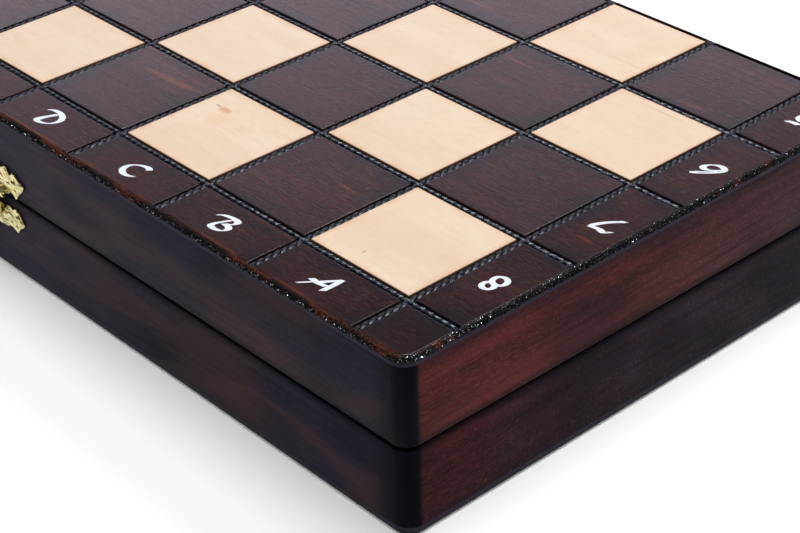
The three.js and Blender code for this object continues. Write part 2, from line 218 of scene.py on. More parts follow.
class Look:
    """A node material: short calls that add nodes and return their output sockets."""

    def __init__(self, name):
        self.material = bpy.data.materials.new(name)
        self.material.use_nodes = True
        self.tree = self.material.node_tree
        self.shader = self.tree.nodes["Principled BSDF"]
        self.colour = None
        self.position = self.node("ShaderNodeTexCoord", {}).outputs["Object"]

    def feed(self, socket, value):
        """Links a node's output to a socket, or sets the socket to a plain value."""
        if isinstance(value, bpy.types.NodeSocket):
            self.tree.links.new(value, socket)
        elif socket.type == "RGBA":
            socket.default_value = (*value, 1.0)
        else:
            socket.default_value = value

    def node(self, kind, inputs, **settings):
        made = self.tree.nodes.new(kind)
        for key, value in settings.items():
            setattr(made, key, value)
        for key, value in inputs.items():
            self.feed(made.inputs[key], value)
        return made

    def math(self, operation, first, second=0.0, clamp=False):
        made = self.node("ShaderNodeMath", {0: first, 1: second}, operation=operation, use_clamp=clamp)
        return made.outputs[0]

    def plus(self, first, second):
        return self.math("ADD", first, second)

    def minus(self, first, second, clamp=False):
        return self.math("SUBTRACT", first, second, clamp)

    def times(self, first, second):
        return self.math("MULTIPLY", first, second)

    def size(self, value):
        return self.math("ABSOLUTE", value)

    def noise(self, stretch, scale, detail=4.0, rough=0.55, warp=0.0):
        moved = self.node("ShaderNodeMapping", {"Vector": self.position, "Scale": stretch})
        made = self.node("ShaderNodeTexNoise", {"Vector": moved.outputs[0], "Scale": scale, "Detail": detail,
                                                "Roughness": rough, "Distortion": warp})
        return made.outputs["Fac"]

    def ramp(self, value, low, high, start=0.0, end=1.0):
        made = self.node("ShaderNodeMapRange", {"Value": value, "From Min": low, "From Max": high,
                                                "To Min": start, "To Max": end},
                         interpolation_type="SMOOTHSTEP")
        return made.outputs["Result"]

    def mix(self, share, first, second):
        made = self.node("ShaderNodeMix", {0: share, 6: first, 7: second}, data_type="RGBA")
        return made.outputs[2]

    def base(self, value, low, high, first, second):
        """Starts the colour: the first one turns into the second where the value ramps from low to high."""
        self.colour = self.mix(self.ramp(value, low, high), first, second)

    def cover(self, share, colour):
        """Lays a colour over what is there, with a share that is a node's output."""
        self.colour = self.mix(share, self.colour, colour)

    def paint(self, value, low, high, share, colour):
        """Lays a colour over what is there, up to a share, where the value ramps from low to high."""
        self.cover(self.ramp(value, low, high, 0.0, share), colour)

    def axes(self):
        return self.node("ShaderNodeSeparateXYZ", {0: self.position}).outputs

    def bump(self, height, distance, strength):
        inputs = {"Height": height, "Distance": distance, "Strength": strength}
        return self.node("ShaderNodeBump", inputs).outputs[0]

    def finish(self, **sockets):
        """Feeds the shader's sockets, named with _ for each space, and the colour laid so far."""
        if self.colour:
            sockets["Base_Color"] = self.colour
        for name, value in sockets.items():
            self.feed(self.shader.inputs[name.replace("_", " ")], value)
        return self.material


def from_first_lines(look):
    """Distances from the first lines between squares: along the case and back from its front."""
    x, y, _ = look.axes()
    return look.plus(x, LENGTH / 2 - BORDER), look.plus(y, DEPTH / 2 - BORDER)


def line_distance(look):
    """Distance from the nearest line between squares."""
    along, across = (look.math("PINGPONG", value, SQUARE / 2) for value in from_first_lines(look))
    return look.math("MINIMUM", along, across)


def edge_distances(look):
    """Distances in from the nearer end of the case, from its front, and from the height of the seam."""
    x, y, z = look.axes()
    return look.minus(LENGTH / 2, look.size(x)), look.plus(y, DEPTH / 2), look.size(look.minus(z, SEAM_Z))


def square_tone(look):
    """A random number for each square, so that neighbouring squares differ a little."""
    column, row = (look.math("FLOOR", look.math("DIVIDE", value, SQUARE)) for value in from_first_lines(look))
    spot = look.node("ShaderNodeCombineXYZ", {0: column, 1: row, 2: 0.5}).outputs[0]
    return look.node("ShaderNodeTexWhiteNoise", {"Vector": spot}).outputs["Value"]


# Centre and half size in millimetres, colour and strength of each small mark.
BLEMISHES = (
    ((50.4, -41.4), (3.2, 1.7), (0.62, 0.30, 0.13), 0.75),
    ((46.9, -41.0), (1.6, 0.5), (0.30, 0.13, 0.06), 0.7),
    ((52.5, -46.0), (5.5, 4.5), (0.76, 0.50, 0.30), 0.45),
    ((135.7, -63.6), (0.4, 0.8), (0.32, 0.17, 0.09), 0.8),
    ((139.9, 45.2), (11.0, 0.35), (0.50, 0.25, 0.13), 0.5),
)


def blemish(look, centre, half_size, tint, share):
    """A soft elliptical mark in the wood of the upper board, such as a knot or a dark speck."""
    x, y, z = look.axes()
    spread = look.times(look.noise((1, 1, 1), 900.0, 3.0), 0.8)
    for value, middle, half in zip((x, y), centre, half_size):
        reach = look.math("DIVIDE", look.minus(value, middle * MM), half * MM)
        spread = look.plus(spread, look.math("POWER", reach, 2.0))
    above = look.ramp(z, SEAM_Z, SEAM_Z + 1 * MM)
    look.cover(look.times(look.ramp(spread, 1.4, 0.4, 0.0, share), above), tint)


def light_square_wood():
    look = Look("light_square_wood")
    line = line_distance(look)
    broad = look.noise((1.5, 20, 20), 4.0, 3.0)
    fine = look.noise((9, 230, 230), 5.0, 3.0, 0.6)
    cloud = look.noise((1, 1, 1), 30.0, 3.0)
    look.base(broad, 0.3, 0.72, (0.80, 0.645, 0.495), (0.73, 0.56, 0.41))
    look.paint(cloud, 0.45, 0.7, 0.6, (0.79, 0.58, 0.41))
    mottle = look.noise((1, 2.2, 2.2), 85.0, 3.0, 0.6)
    look.paint(mottle, 0.48, 0.68, 0.4, (0.70, 0.50, 0.33))
    look.cover(look.times(square_tone(look), 0.35), (0.77, 0.60, 0.47))
    look.paint(fine, 0.55, 0.8, 0.22, (0.62, 0.40, 0.24))
    flecks = flecked(look, "x", 60)
    look.paint(flecks, 0.5, 0.68, 0.22, (0.66, 0.44, 0.29))
    streak = look.noise((2.2, 95, 95), 2.2, 2.0, 0.5, 0.3)
    look.paint(streak, 0.7, 0.78, 0.4, (0.55, 0.31, 0.16))
    spread = look.noise((1, 1, 1), 90.0, 3.0)
    reach = look.ramp(spread, 0.35, 0.7, 1.0 * MM, 4.0 * MM)
    faded = look.math("DIVIDE", look.minus(line, GROOVE / 2), reach)
    scorch = look.minus(1.0, faded, True)
    scorch = look.times(look.math("POWER", scorch, 2.2), 0.45)
    look.cover(scorch, (0.62, 0.27, 0.09))
    for mark in BLEMISHES:
        blemish(look, *mark)
    rim = look.ramp(line, GROOVE / 2 + 0.34 * MM, GROOVE / 2 + 0.08 * MM, 0.0, 0.92)
    look.cover(rim, (0.05, 0.018, 0.008))
    normal = look.bump(fine, 0.00003, 0.5)
    rough = look.ramp(fine, 0.3, 0.8, 0.36, 0.5)
    return look.finish(Roughness=rough, Normal=normal, Specular_IOR_Level=0.3)


def flecked(look, along, seed):
    """Short fibre flecks that lie along the grain: a height and colour pattern of stained beech."""
    stretch = {"x": (1, 6, 6), "y": (6, 1, 6)}[along]
    return look.noise(stretch, 420.0 + seed, 3.0, 0.65, 0.15)


def dark_board_wood(name, shine):
    look = Look(name)
    line = line_distance(look)
    from_end, from_front, _ = edge_distances(look)
    outer = look.math("MINIMUM", from_end, from_front)
    broad = look.noise((1.5, 16, 16), 5.0, 4.0, 0.6, 0.4)
    fine = look.noise((7, 150, 150), 6.0, 4.0, 0.65, 0.2)
    streak = look.noise((3, 60, 60), 5.0, 3.0, 0.6, 0.5)
    flecks = flecked(look, "x", 0)
    look.base(broad, 0.3, 0.72, (0.017, 0.0040, 0.0042), (0.046, 0.0095, 0.0088))
    look.paint(fine, 0.42, 0.7, 0.7, (0.006, 0.0032, 0.0035))
    look.paint(streak, 0.56, 0.74, 0.5, (0.11, 0.028, 0.013))
    flame = look.noise((2.0, 22, 22), 9.0, 3.0, 0.55, 0.8)
    look.paint(flame, 0.63, 0.74, 0.75, (0.15, 0.038, 0.018))
    look.paint(flecks, 0.51, 0.64, 0.65, (0.10, 0.030, 0.021))
    look.paint(flecks, 0.47, 0.36, 0.6, (0.005, 0.0028, 0.0032))
    worn = look.noise((1, 1, 1), 70.0, 3.0, 0.6)
    near = look.ramp(from_front, 3.0 * MM, EDGE_BAND, 0.0, 0.85)
    look.cover(look.times(near, look.ramp(worn, 0.4, 0.62)), (0.24, 0.045, 0.012))
    # Painted shade: the wood darkens towards the ends and the front edge, and most at the two front corners,
    # standing for the weaker sheen the board shows there.
    look.paint(outer, 16 * MM, 2.5 * MM, 0.5, (0.016, 0.0035, 0.0038))
    painted_shade_corner_distance = look.plus(from_end, from_front)
    look.paint(painted_shade_corner_distance, 40 * MM, 22 * MM, 0.6, (0.005, 0.003, 0.0045))
    haze = look.ramp(look.noise((1, 1, 1), 55.0, 3.0), 0.36, 0.62, 0.25, 1.0)
    sprayed = look.times(look.ramp(line, 9 * MM, GROOVE / 2, 0.0, 0.85), haze)
    look.cover(sprayed, (0.0055, 0.005, 0.009))
    height = look.plus(look.times(fine, 0.5), flecks)
    normal = look.bump(height, 0.0001, 0.7)
    rough = look.ramp(fine, 0.25, 0.8, 0.21, 0.3)
    return look.finish(Roughness=rough, Normal=normal, Specular_IOR_Level=shine)


def case_wood(along):
    """Stained wall with grain along x or y, sprayed near-black at the corners and darker towards the seam.
    The front and back walls, with grain along x, get a dark bluish ground that is painted reflection, paler
    towards -x, with their reddish stain in flecks and bands.
    """
    look = Look(f"case_wood_{along}")
    x, y, z = look.axes()
    from_end, _, off_seam = edge_distances(look)
    long_way = (1.2, 20, 20) if along == "x" else (20, 1.2, 20)
    fine_way = (7, 150, 150) if along == "x" else (150, 7, 150)
    broad = look.noise(long_way, 4.0, 4.0, 0.6, 0.5)
    fine = look.noise(fine_way, 5.0, 4.0, 0.65, 0.3)
    cloud = look.noise((1, 1, 1.6), 22.0, 2.0)
    flecks = flecked(look, along, 30)
    from_face = look.minus(DEPTH / 2, look.size(y))
    corner = look.math("MAXIMUM", from_end, from_face)
    if along == "y":
        look.base(broad, 0.3, 0.75, (0.036, 0.0065, 0.0082), (0.106, 0.0185, 0.0205))
        look.paint(flecks, 0.5, 0.66, 0.5, (0.19, 0.040, 0.034))
        below = look.ramp(z, SEAM_Z + 1 * MM, SEAM_Z - 1 * MM)
        look.cover(look.times(below, 0.4), (0.018, 0.0065, 0.009))
        wander = look.times(look.noise((1, 1, 1), 26.0, 2.0), 60 * MM)
        away = look.ramp(look.plus(y, wander), -50 * MM, 15 * MM, 0.0, 0.9)
        upper_away = look.ramp(y, -20 * MM, 60 * MM, 0.0, 0.55)
        look.cover(upper_away, (0.040, 0.023, 0.029))
        look.cover(look.times(below, away), (0.017, 0.0145, 0.024))
        under_edge = look.ramp(off_seam, SEAM_Z - 8 * MM, SEAM_Z - 2.6 * MM, 0.0, 0.6)
        look.cover(under_edge, (0.012, 0.008, 0.014))
        dust = look.noise((1, 1, 1), 1500.0, 2.0)
        look.paint(dust, 0.56, 0.68, 0.25, (0.20, 0.056, 0.042))
        look.paint(dust, 0.74, 0.8, 0.5, (0.42, 0.20, 0.17))
        spray = look.ramp(corner, 3.9 * MM, 5.8 * MM)
    else:
        # Front and back walls: painted reflection. The dark bluish ground stands for the reflection these
        # walls show; the reddish flecks, drift and veins below are their stain.
        look.base(broad, 0.3, 0.75, (0.0075, 0.0080, 0.0200), (0.0190, 0.0165, 0.0315))
        look.paint(flecks, 0.54, 0.7, 0.3, (0.085, 0.040, 0.040))
        drift = look.noise((1, 1, 2.2), 13.0, 3.0, 0.55, 0.3)
        look.paint(drift, 0.5, 0.68, 0.6, (0.056, 0.027, 0.030))
        figure = look.noise((1, 1, 3.0), 9.0, 2.0, 0.5, 0.8)
        vein = look.size(look.minus(figure, 0.5))
        look.paint(vein, 0.07, 0.0, 0.35, (0.085, 0.041, 0.036))
        # Painted reflection: the ground turns paler and bluer towards -x.
        pale = look.ramp(x, 120 * MM, -40 * MM, 0.0, 0.6)
        look.cover(pale, (0.036, 0.031, 0.055))
        spray = look.ramp(corner, 4.5 * MM, 14 * MM)
    depth = 0.6 if along == "y" else 0.35
    look.paint(fine, 0.42, 0.75, depth, (0.012, 0.0055, 0.0065))
    spray = look.times(spray, look.ramp(cloud, 0.32, 0.56, 0.5, 1.0))
    # Darker towards the seam, on every wall.
    spray = look.times(spray, look.ramp(off_seam, 0.6 * MM, 3.5 * MM, 0.25, 1.0))
    look.colour = look.mix(spray, (0.0012, 0.0012, 0.0040), look.colour)
    strip = look.ramp(off_seam, SEAM_Z - 2.75 * MM, SEAM_Z - 2.55 * MM)
    look.cover(strip, (0.030, 0.027, 0.042))
    inside = look.ramp(look.math("MINIMUM", from_end, from_face), 2.0 * MM, 2.7 * MM)
    bare = look.mix(look.ramp(broad, 0.3, 0.75), (0.055, 0.020, 0.013), (0.115, 0.043, 0.026))
    bare = look.mix(look.ramp(flecks, 0.5, 0.7, 0.0, 0.5), bare, (0.035, 0.012, 0.009))
    look.cover(inside, bare)
    height = look.plus(look.times(fine, 0.5), flecks)
    normal = look.bump(height, 0.00008, 0.6)
    rough = look.ramp(fine, 0.25, 0.8, 0.36, 0.5)
    if along == "y":
        return look.finish(Roughness=rough, Normal=normal, Specular_IOR_Level=0.03)
    return look.finish(Roughness=rough, Normal=normal, Specular_IOR_Level=0.04,
                       Specular_Tint=(0.7, 0.78, 1.0))


def cord_lacquer():
    look = Look("cord_lacquer")
    grit = look.noise((1, 1, 1), 2600.0, 3.0, 0.6)
    dust = look.noise((1, 1, 1), 420.0, 3.0)
    look.base(dust, 0.4, 0.7, (0.0015, 0.0022, 0.0065), (0.004, 0.0055, 0.0115))
    normal = look.bump(grit, 0.0002, 0.6)
    rough = look.ramp(grit, 0.3, 0.7, 0.07, 0.2)
    return look.finish(Roughness=rough, Normal=normal, Specular_IOR_Level=0.4, Specular_Tint=(0.8, 0.88, 1.0))


def edge_lacquer():
    look = Look("edge_lacquer")
    _, along, off_seam = edge_distances(look)
    drop = look.minus(SEAM_Z, off_seam)
    patches = look.noise((1, 1, 1), 60.0, 3.0, 0.6)
    grit = look.noise((1, 1, 1), 1300.0, 3.0, 0.6)
    look.base(patches, 0.56, 0.68, (0.0035, 0.003, 0.004), (0.065, 0.013, 0.005))
    front = look.ramp(along, 2.0 * MM, 1.2 * MM)
    worn = look.times(front, look.ramp(drop, 0.62 * MM, 0.38 * MM))
    rubbed = look.mix(look.ramp(patches, 0.47, 0.6), (0.007, 0.003, 0.003), (0.075, 0.016, 0.006))
    rubbed = look.mix(look.ramp(grit, 0.46, 0.58, 0.0, 0.85), rubbed, (0.006, 0.003, 0.003))
    look.cover(worn, rubbed)
    under = look.ramp(look.axes()[2], SEAM_Z, SEAM_Z - 1 * MM)
    look.cover(under, (0.012, 0.0065, 0.0075))
    # Painted glints: near-white metallic specks are laid over the black lacquer, denser towards the front
    # edge, so that it sparkles under the lamps.
    facets = look.noise((1, 1, 1), 3100.0, 2.0, 0.5)
    rarity = look.ramp(along, 0.0, 60 * MM, -0.005, 0.022)
    covered = look.times(look.minus(1.0, worn), look.minus(1.0, under))
    covered = look.times(covered, look.ramp(drop, 1.25 * MM, 0.9 * MM))
    bright = look.ramp(look.minus(facets, rarity), 0.652, 0.668)
    glint_specks = look.times(bright, covered)
    look.cover(glint_specks, (0.90, 0.93, 0.97))
    normal = look.bump(grit, 0.0005, 0.7)
    rough = look.ramp(glint_specks, 0.0, 1.0, 0.42, 0.3)
    return look.finish(Roughness=rough, Normal=normal, Metallic=glint_specks, Specular_IOR_Level=0.06)


def smooth_lacquer():
    look = Look("smooth_lacquer")
    swell = look.noise((1, 1, 1), 240.0, 2.0)
    normal = look.bump(swell, 0.0002, 0.3)
    return look.finish(Base_Color=(0.004, 0.0038, 0.006), Roughness=look.ramp(swell, 0.3, 0.7, 0.3, 0.4),
                       Normal=normal, Specular_IOR_Level=0.2)


def label_paint():
    look = Look("label_paint")
    mottle = look.noise((1, 1, 1), 1400.0, 3.0)
    look.base(mottle, 0.35, 0.75, (0.86, 0.90, 0.96), (0.74, 0.80, 0.90))
    return look.finish(Roughness=0.38, Normal=look.bump(mottle, 0.00003, 0.5))


def turned_wood(name, pale, deep, ring):
    """Lacquered turned wood whose grain runs up each man, that is along y."""
    look = Look(name)
    broad = look.noise((60, 3, 60), 4.0, 3.0, 0.55, 0.3)
    fine = look.noise((420, 14, 420), 3.0, 3.0, 0.6)
    look.base(broad, 0.32, 0.7, pale, deep)
    look.paint(fine, 0.52, 0.75, 0.45, ring)
    normal = look.bump(fine, 0.00006, 0.5)
    return look.finish(Roughness=look.ramp(fine, 0.3, 0.8, 0.28, 0.42), Normal=normal, Coat_Weight=0.3,
                       Coat_Roughness=0.12)


def brass(name, pale, deep, wear):
    look = Look(name)
    cloud = look.noise((1, 1, 1), 320.0, 4.0, 0.6)
    grit = look.noise((1, 1, 1), 2400.0, 3.0, 0.6)
    look.base(cloud, 0.38, 0.68, pale, deep)
    look.paint(grit, 0.6, 0.8, wear, (0.30, 0.20, 0.07))
    normal = look.bump(grit, 0.00008, 0.35)
    return look.finish(Roughness=look.ramp(cloud, 0.3, 0.75, 0.16, 0.34), Normal=normal, Metallic=1.0)


def felt_cloth(name, pale, deep):
    look = Look(name)
    fibre = look.noise((1, 1, 1), 1500.0, 5.0, 0.75, 1.2)
    cloud = look.noise((1, 1, 1), 60.0, 3.0)
    tufts = look.noise((1, 1, 0.4), 420.0, 3.0, 0.7, 0.6)
    look.base(fibre, 0.3, 0.7, deep, pale)
    look.paint(cloud, 0.4, 0.7, 0.35, deep)
    height = look.plus(fibre, look.times(tufts, 0.6))
    normal = look.bump(height, 0.0004, 0.8)
    return look.finish(Roughness=look.ramp(fibre, 0.3, 0.7, 0.86, 1.0), Normal=normal,
                       Specular_IOR_Level=0.12,
                       Sheen_Weight=0.35, Sheen_Roughness=0.5)


def flocked_foam():
    """Dense foam with a short flock: fine cells, a few larger pores and cloudy nap."""
    look = Look("flocked_foam")
    cells = look.node("ShaderNodeTexVoronoi", {"Vector": look.position, "Scale": 1900.0}).outputs["Distance"]
    nap = look.noise((1, 1, 1), 45.0, 4.0, 0.6)
    fibre = look.noise((1, 1, 1), 1700.0, 4.0, 0.7, 0.8)
    look.base(nap, 0.35, 0.7, (0.020, 0.021, 0.024), (0.042, 0.043, 0.048))
    look.paint(fibre, 0.5, 0.75, 0.5, (0.085, 0.086, 0.092))
    height = look.plus(look.times(cells, 0.8), fibre)
    normal = look.bump(height, 0.0003, 0.8)
    return look.finish(Roughness=look.ramp(fibre, 0.3, 0.7, 0.9, 1.0), Normal=normal, Specular_IOR_Level=0.1,
                       Sheen_Weight=0.25, Sheen_Roughness=0.6)


# ---- Board ----

def board_core(half, place):
    """The panel below the tiles: its top is the floor of the grooves, its edge sits inside the wall lips."""
    builder = Builder(place)
    rings = []
    for level in (-PANEL, -GROOVE_DEPTH):
        outline = rounded_rectangle(LENGTH / 2 - LIP, DEPTH / 2 - LIP, CORNER_RADIUS - LIP, 8)
        rings.append([(x, y, level) for x, y in outline])
    builder.rings(rings)
    return builder.mesh(f"{half}_board_core")


def tile(builder, centre, half_x, half_y, corners=TILE_CORNER):
    """One square or border cell: a low block with rounded upper edges."""
    radii = corners if isinstance(corners, list) else [corners] * 4
    steps = 6 if isinstance(corners, list) else 3
    rings = [[(x, y, -GROOVE_DEPTH - TILE_ROOT) for x, y in rounded_rectangle(half_x, half_y, radii, steps)]]
    for inset, drop in [*quarter_round(TILE_EDGE), (TILE_EDGE + FLAT_START, 0)]:
        outline = rounded_rectangle(half_x - inset, half_y - inset, [r - inset for r in radii], steps)
        rings.append([(x, y, -drop) for x, y in outline])
    builder.rings(rings, Matrix.Translation((*centre, 0)))


def column_x(column):
    """Centre of a column of squares, counted from the +x side in board coordinates."""
    return LENGTH / 2 - BORDER - (column + 0.5) * SQUARE


def row_y(row):
    """Centre of a row of squares, counted from the front edge."""
    return -DEPTH / 2 + BORDER + (row + 0.5) * SQUARE


def squares(place, light):
    builder = Builder(place)
    half_side = (SQUARE - GROOVE) / 2
    for column in range(8):
        for row in range(4):
            if ((column + row) % 2 == 0) != light:
                continue
            grow = GROOVE / 4 if row == 3 else 0
            tile(builder, (column_x(column), row_y(row) + grow), half_side, half_side + grow)
    return builder


def border_cells(place):
    builder = Builder(place)
    half_side = (SQUARE - GROOVE) / 2
    inner = BORDER - GROOVE / 2
    half_cell = (inner - EDGE_BAND) / 2
    cell_y = -DEPTH / 2 + EDGE_BAND + half_cell
    cell_x = LENGTH / 2 - EDGE_BAND - half_cell
    for column in range(8):
        tile(builder, (column_x(column), cell_y), half_side, half_cell)
    for side in (-1, 1):
        outer = 3 if side > 0 else 2
        corners = [CELL_OUTER_CORNER if corner == outer else TILE_CORNER for corner in range(4)]
        tile(builder, (side * cell_x, cell_y), half_cell, half_cell, corners)
        for row in range(4):
            grow = GROOVE / 4 if row == 3 else 0
            tile(builder, (side * cell_x, row_y(row) + grow), half_cell, half_side + grow)
    return builder


def pole_faces(around, rings):
    """Faces from one pole over equal rings to the other pole, when the points are listed in that order."""
    faces = []
    for i in range(around):
        j = (i + 1) % around
        faces.append((0, 1 + j, 1 + i))
        for level in range(rings - 1):
            base = 1 + level * around
            faces.append((base + i, base + j, base + j + around, base + i + around))
        base = 1 + (rings - 1) * around
        faces.append((base + i, base + j, base + around))
    return faces


def bead_template(around=8, levels=5):
    """Unit sphere as points and faces, few-sided because hundreds of beads make one cord."""
    points = [(0, 0, -1)]
    for level in range(1, levels):
        lift = -math.cos(math.pi * level / levels)
        ring = math.sin(math.pi * level / levels)
        points.extend((ring * cos, ring * sin, lift) for cos, sin in circle(around))
    points.append((0, 0, 1))
    return points, pole_faces(around, levels - 1)


def cord_run(builder, bead, start, end, rng):
    """Leaning beads from start to end, which read as a twisted two-strand cord."""
    points, faces = bead
    run = Vector(end) - Vector(start)
    count = max(1, round(run.length / CORD_PITCH))
    heading = math.atan2(run.y, run.x)
    for i in range(count):
        at = Vector(start) + run * ((i + 0.5) / count)
        turn = Matrix.Rotation(heading + CORD_LEAN + rng.uniform(-CORD_WOBBLE, CORD_WOBBLE), 4, "Z")
        size = rng.uniform(*CORD_SIZES)
        shape = Matrix.Diagonal((CORD_HALF_LENGTH * size, CORD_HALF_WIDTH * size, CORD_HALF_HEIGHT, 1))
        lift = -CORD_HALF_HEIGHT - rng.uniform(*CORD_SINK) * MM
        builder.add(points, faces, Matrix.Translation((at.x, at.y, lift)) @ turn @ shape)


def cord_lines(place, seed):
    builder = Builder(place)
    bead = bead_template()
    rng = random.Random(seed)
    end_x = LENGTH / 2 - EDGE_BAND / 2
    front_y = -DEPTH / 2 + EDGE_BAND / 2
    for line in range(9):
        x = column_x(0) + SQUARE / 2 - line * SQUARE
        cord_run(builder, bead, (x, front_y), (x, DEPTH / 2 - CORD_END), rng)
    for line in range(4):
        y = row_y(0) - SQUARE / 2 + line * SQUARE
        cord_run(builder, bead, (end_x, y), (-end_x, y), rng)
    return builder


EDGE_STEP = 0.26 * MM
EDGE_LUMP = {"upper": 0.3 * MM, "lower": 0.1 * MM}
EDGE_BEAD_PITCH = 0.95 * MM
EDGE_BEAD_ROWS = (64, 22)
EDGE_BEAD_SIZES = (0.34, 0.58)
EDGE_BEAD_SHAPE = (1.25, 0.85, 1.0)
EDGE_BEAD_SINK = 0.75
EDGE_LUMP_SIZE = 0.8 * MM
EDGE_TUCK = 0.15 * MM
EDGE_FOOT = 0.35 * MM


def edge_arc(degrees):
    """Inset and drop of a point on the rounded edge, at an angle up from the side."""
    angle = math.radians(degrees)
    return EDGE_RADIUS * (1 - math.cos(angle)), EDGE_RADIUS * (1 - math.sin(angle))


def edge_path(inset):
    """Points along the two ends and the front of the board, from hinge edge to hinge edge."""
    radius = CORNER_RADIUS - inset
    half_x, half_y = LENGTH / 2 - inset, DEPTH / 2 - inset
    end_run = int((DEPTH - CORNER_RADIUS) / EDGE_STEP)
    path = [(half_x, DEPTH / 2 - i / end_run * (DEPTH - CORNER_RADIUS)) for i in range(end_run)]
    turn = int(CORNER_RADIUS * math.pi / 2 / EDGE_STEP)
    for i in range(turn):
        angle = i / turn * math.pi / 2
        path.append((half_x - radius + radius * math.cos(angle), -half_y + radius - radius * math.sin(angle)))
    front_run = int((LENGTH / 2 - CORNER_RADIUS) / EDGE_STEP)
    for i in range(front_run + 1):
        path.append(((half_x - radius) * (1 - i / front_run), -half_y))
    return path + [(-x, y) for x, y in reversed(path[:-1])]


def edge_band(half, place, seed):
    """Lumpy lacquered band over the rounded outer edge, a closed strip swept round three sides."""
    builder = Builder(place)
    profile = [(EDGE_BAND + EDGE_TUCK, -0.05 * MM, 0.3)]
    for degrees in (84, 70, 56, 42, 28, 14, 0):
        inset, drop = edge_arc(degrees)
        profile.append((inset, -drop, 0.35 if degrees in (84, 0) else 1.0))
    profile += [(0.0, -EDGE_RADIUS - EDGE_FOOT, 0.0), (EDGE_BAND + EDGE_TUCK, -EDGE_RADIUS - EDGE_FOOT, 0.0)]
    lines = [edge_path(inset) for inset, _, _ in profile]
    rings = []
    for points in zip(*lines):
        ring = []
        for (x, y), (inset, level, share) in zip(points, profile):
            at = Vector((x, y, level))
            lump = noise.noise(at / EDGE_LUMP_SIZE + Vector((seed, 0, 0)))
            lump += 0.7 * noise.noise(at / (0.45 * EDGE_LUMP_SIZE) + Vector((0, seed, 0)))
            push = EDGE_LUMP[half] * share * (lump - 0.25)
            at_end = abs(x) > LENGTH / 2 - CORNER_RADIUS
            inward = Vector((-x, -y, 0)).normalized() if at_end else Vector((0, 1, 0))
            tilt = min(1.0, inset / EDGE_RADIUS)
            ring.append(at + (Vector((0, 0, 1)) * tilt - inward * (1 - tilt)) * min(push, 0.1 * MM))
        rings.append(ring)
    builder.rings(rings)
    if half == "upper":
        edge_beads(builder, random.Random(seed))
    return builder


def edge_beads(builder, rng):
    """Small beads of lacquer in rows over the rounded edge, which catch the light one by one."""
    points, faces = bead_template(6, 4)
    for row, degrees in enumerate(EDGE_BEAD_ROWS):
        inset, drop = edge_arc(degrees)
        path = edge_path(inset)
        step = EDGE_BEAD_PITCH / EDGE_STEP
        for i in range(int(len(path) / step) - 1):
            x, y = path[int((i + row / 3 + rng.uniform(0, 0.4)) * step)]
            size = rng.uniform(*EDGE_BEAD_SIZES) * MM
            spin = Matrix.Rotation(rng.uniform(0, math.pi), 4, "Z")
            tilt = Matrix.Rotation(rng.uniform(-0.6, 0.6), 4, "X")
            shape = Matrix.Diagonal([size * share for share in EDGE_BEAD_SHAPE] + [1])
            at = Matrix.Translation((x, y, -drop - size * EDGE_BEAD_SINK))
            builder.add(points, faces, at @ spin @ tilt @ shape)


# ---- Letters and digits, as strokes of a broad nib: points in millimetres from the cell's centre ----

NIB = (0.98, 0.24)
ROUND_NIB = (0.83, 0.46)
NIB_ANGLE = math.radians(44)
PAINT_THICKNESS = 0.05 * MM
PAINT_EDGE = 0.03
STROKE_LIFT = 0.012 * MM
RING_POINTS = 12


def ring(x, y, radius):
    turns = [2 * math.pi * i / RING_POINTS for i in range(RING_POINTS + 1)]
    return [(x + radius * math.cos(turn), y + radius * math.sin(turn)) for turn in turns]


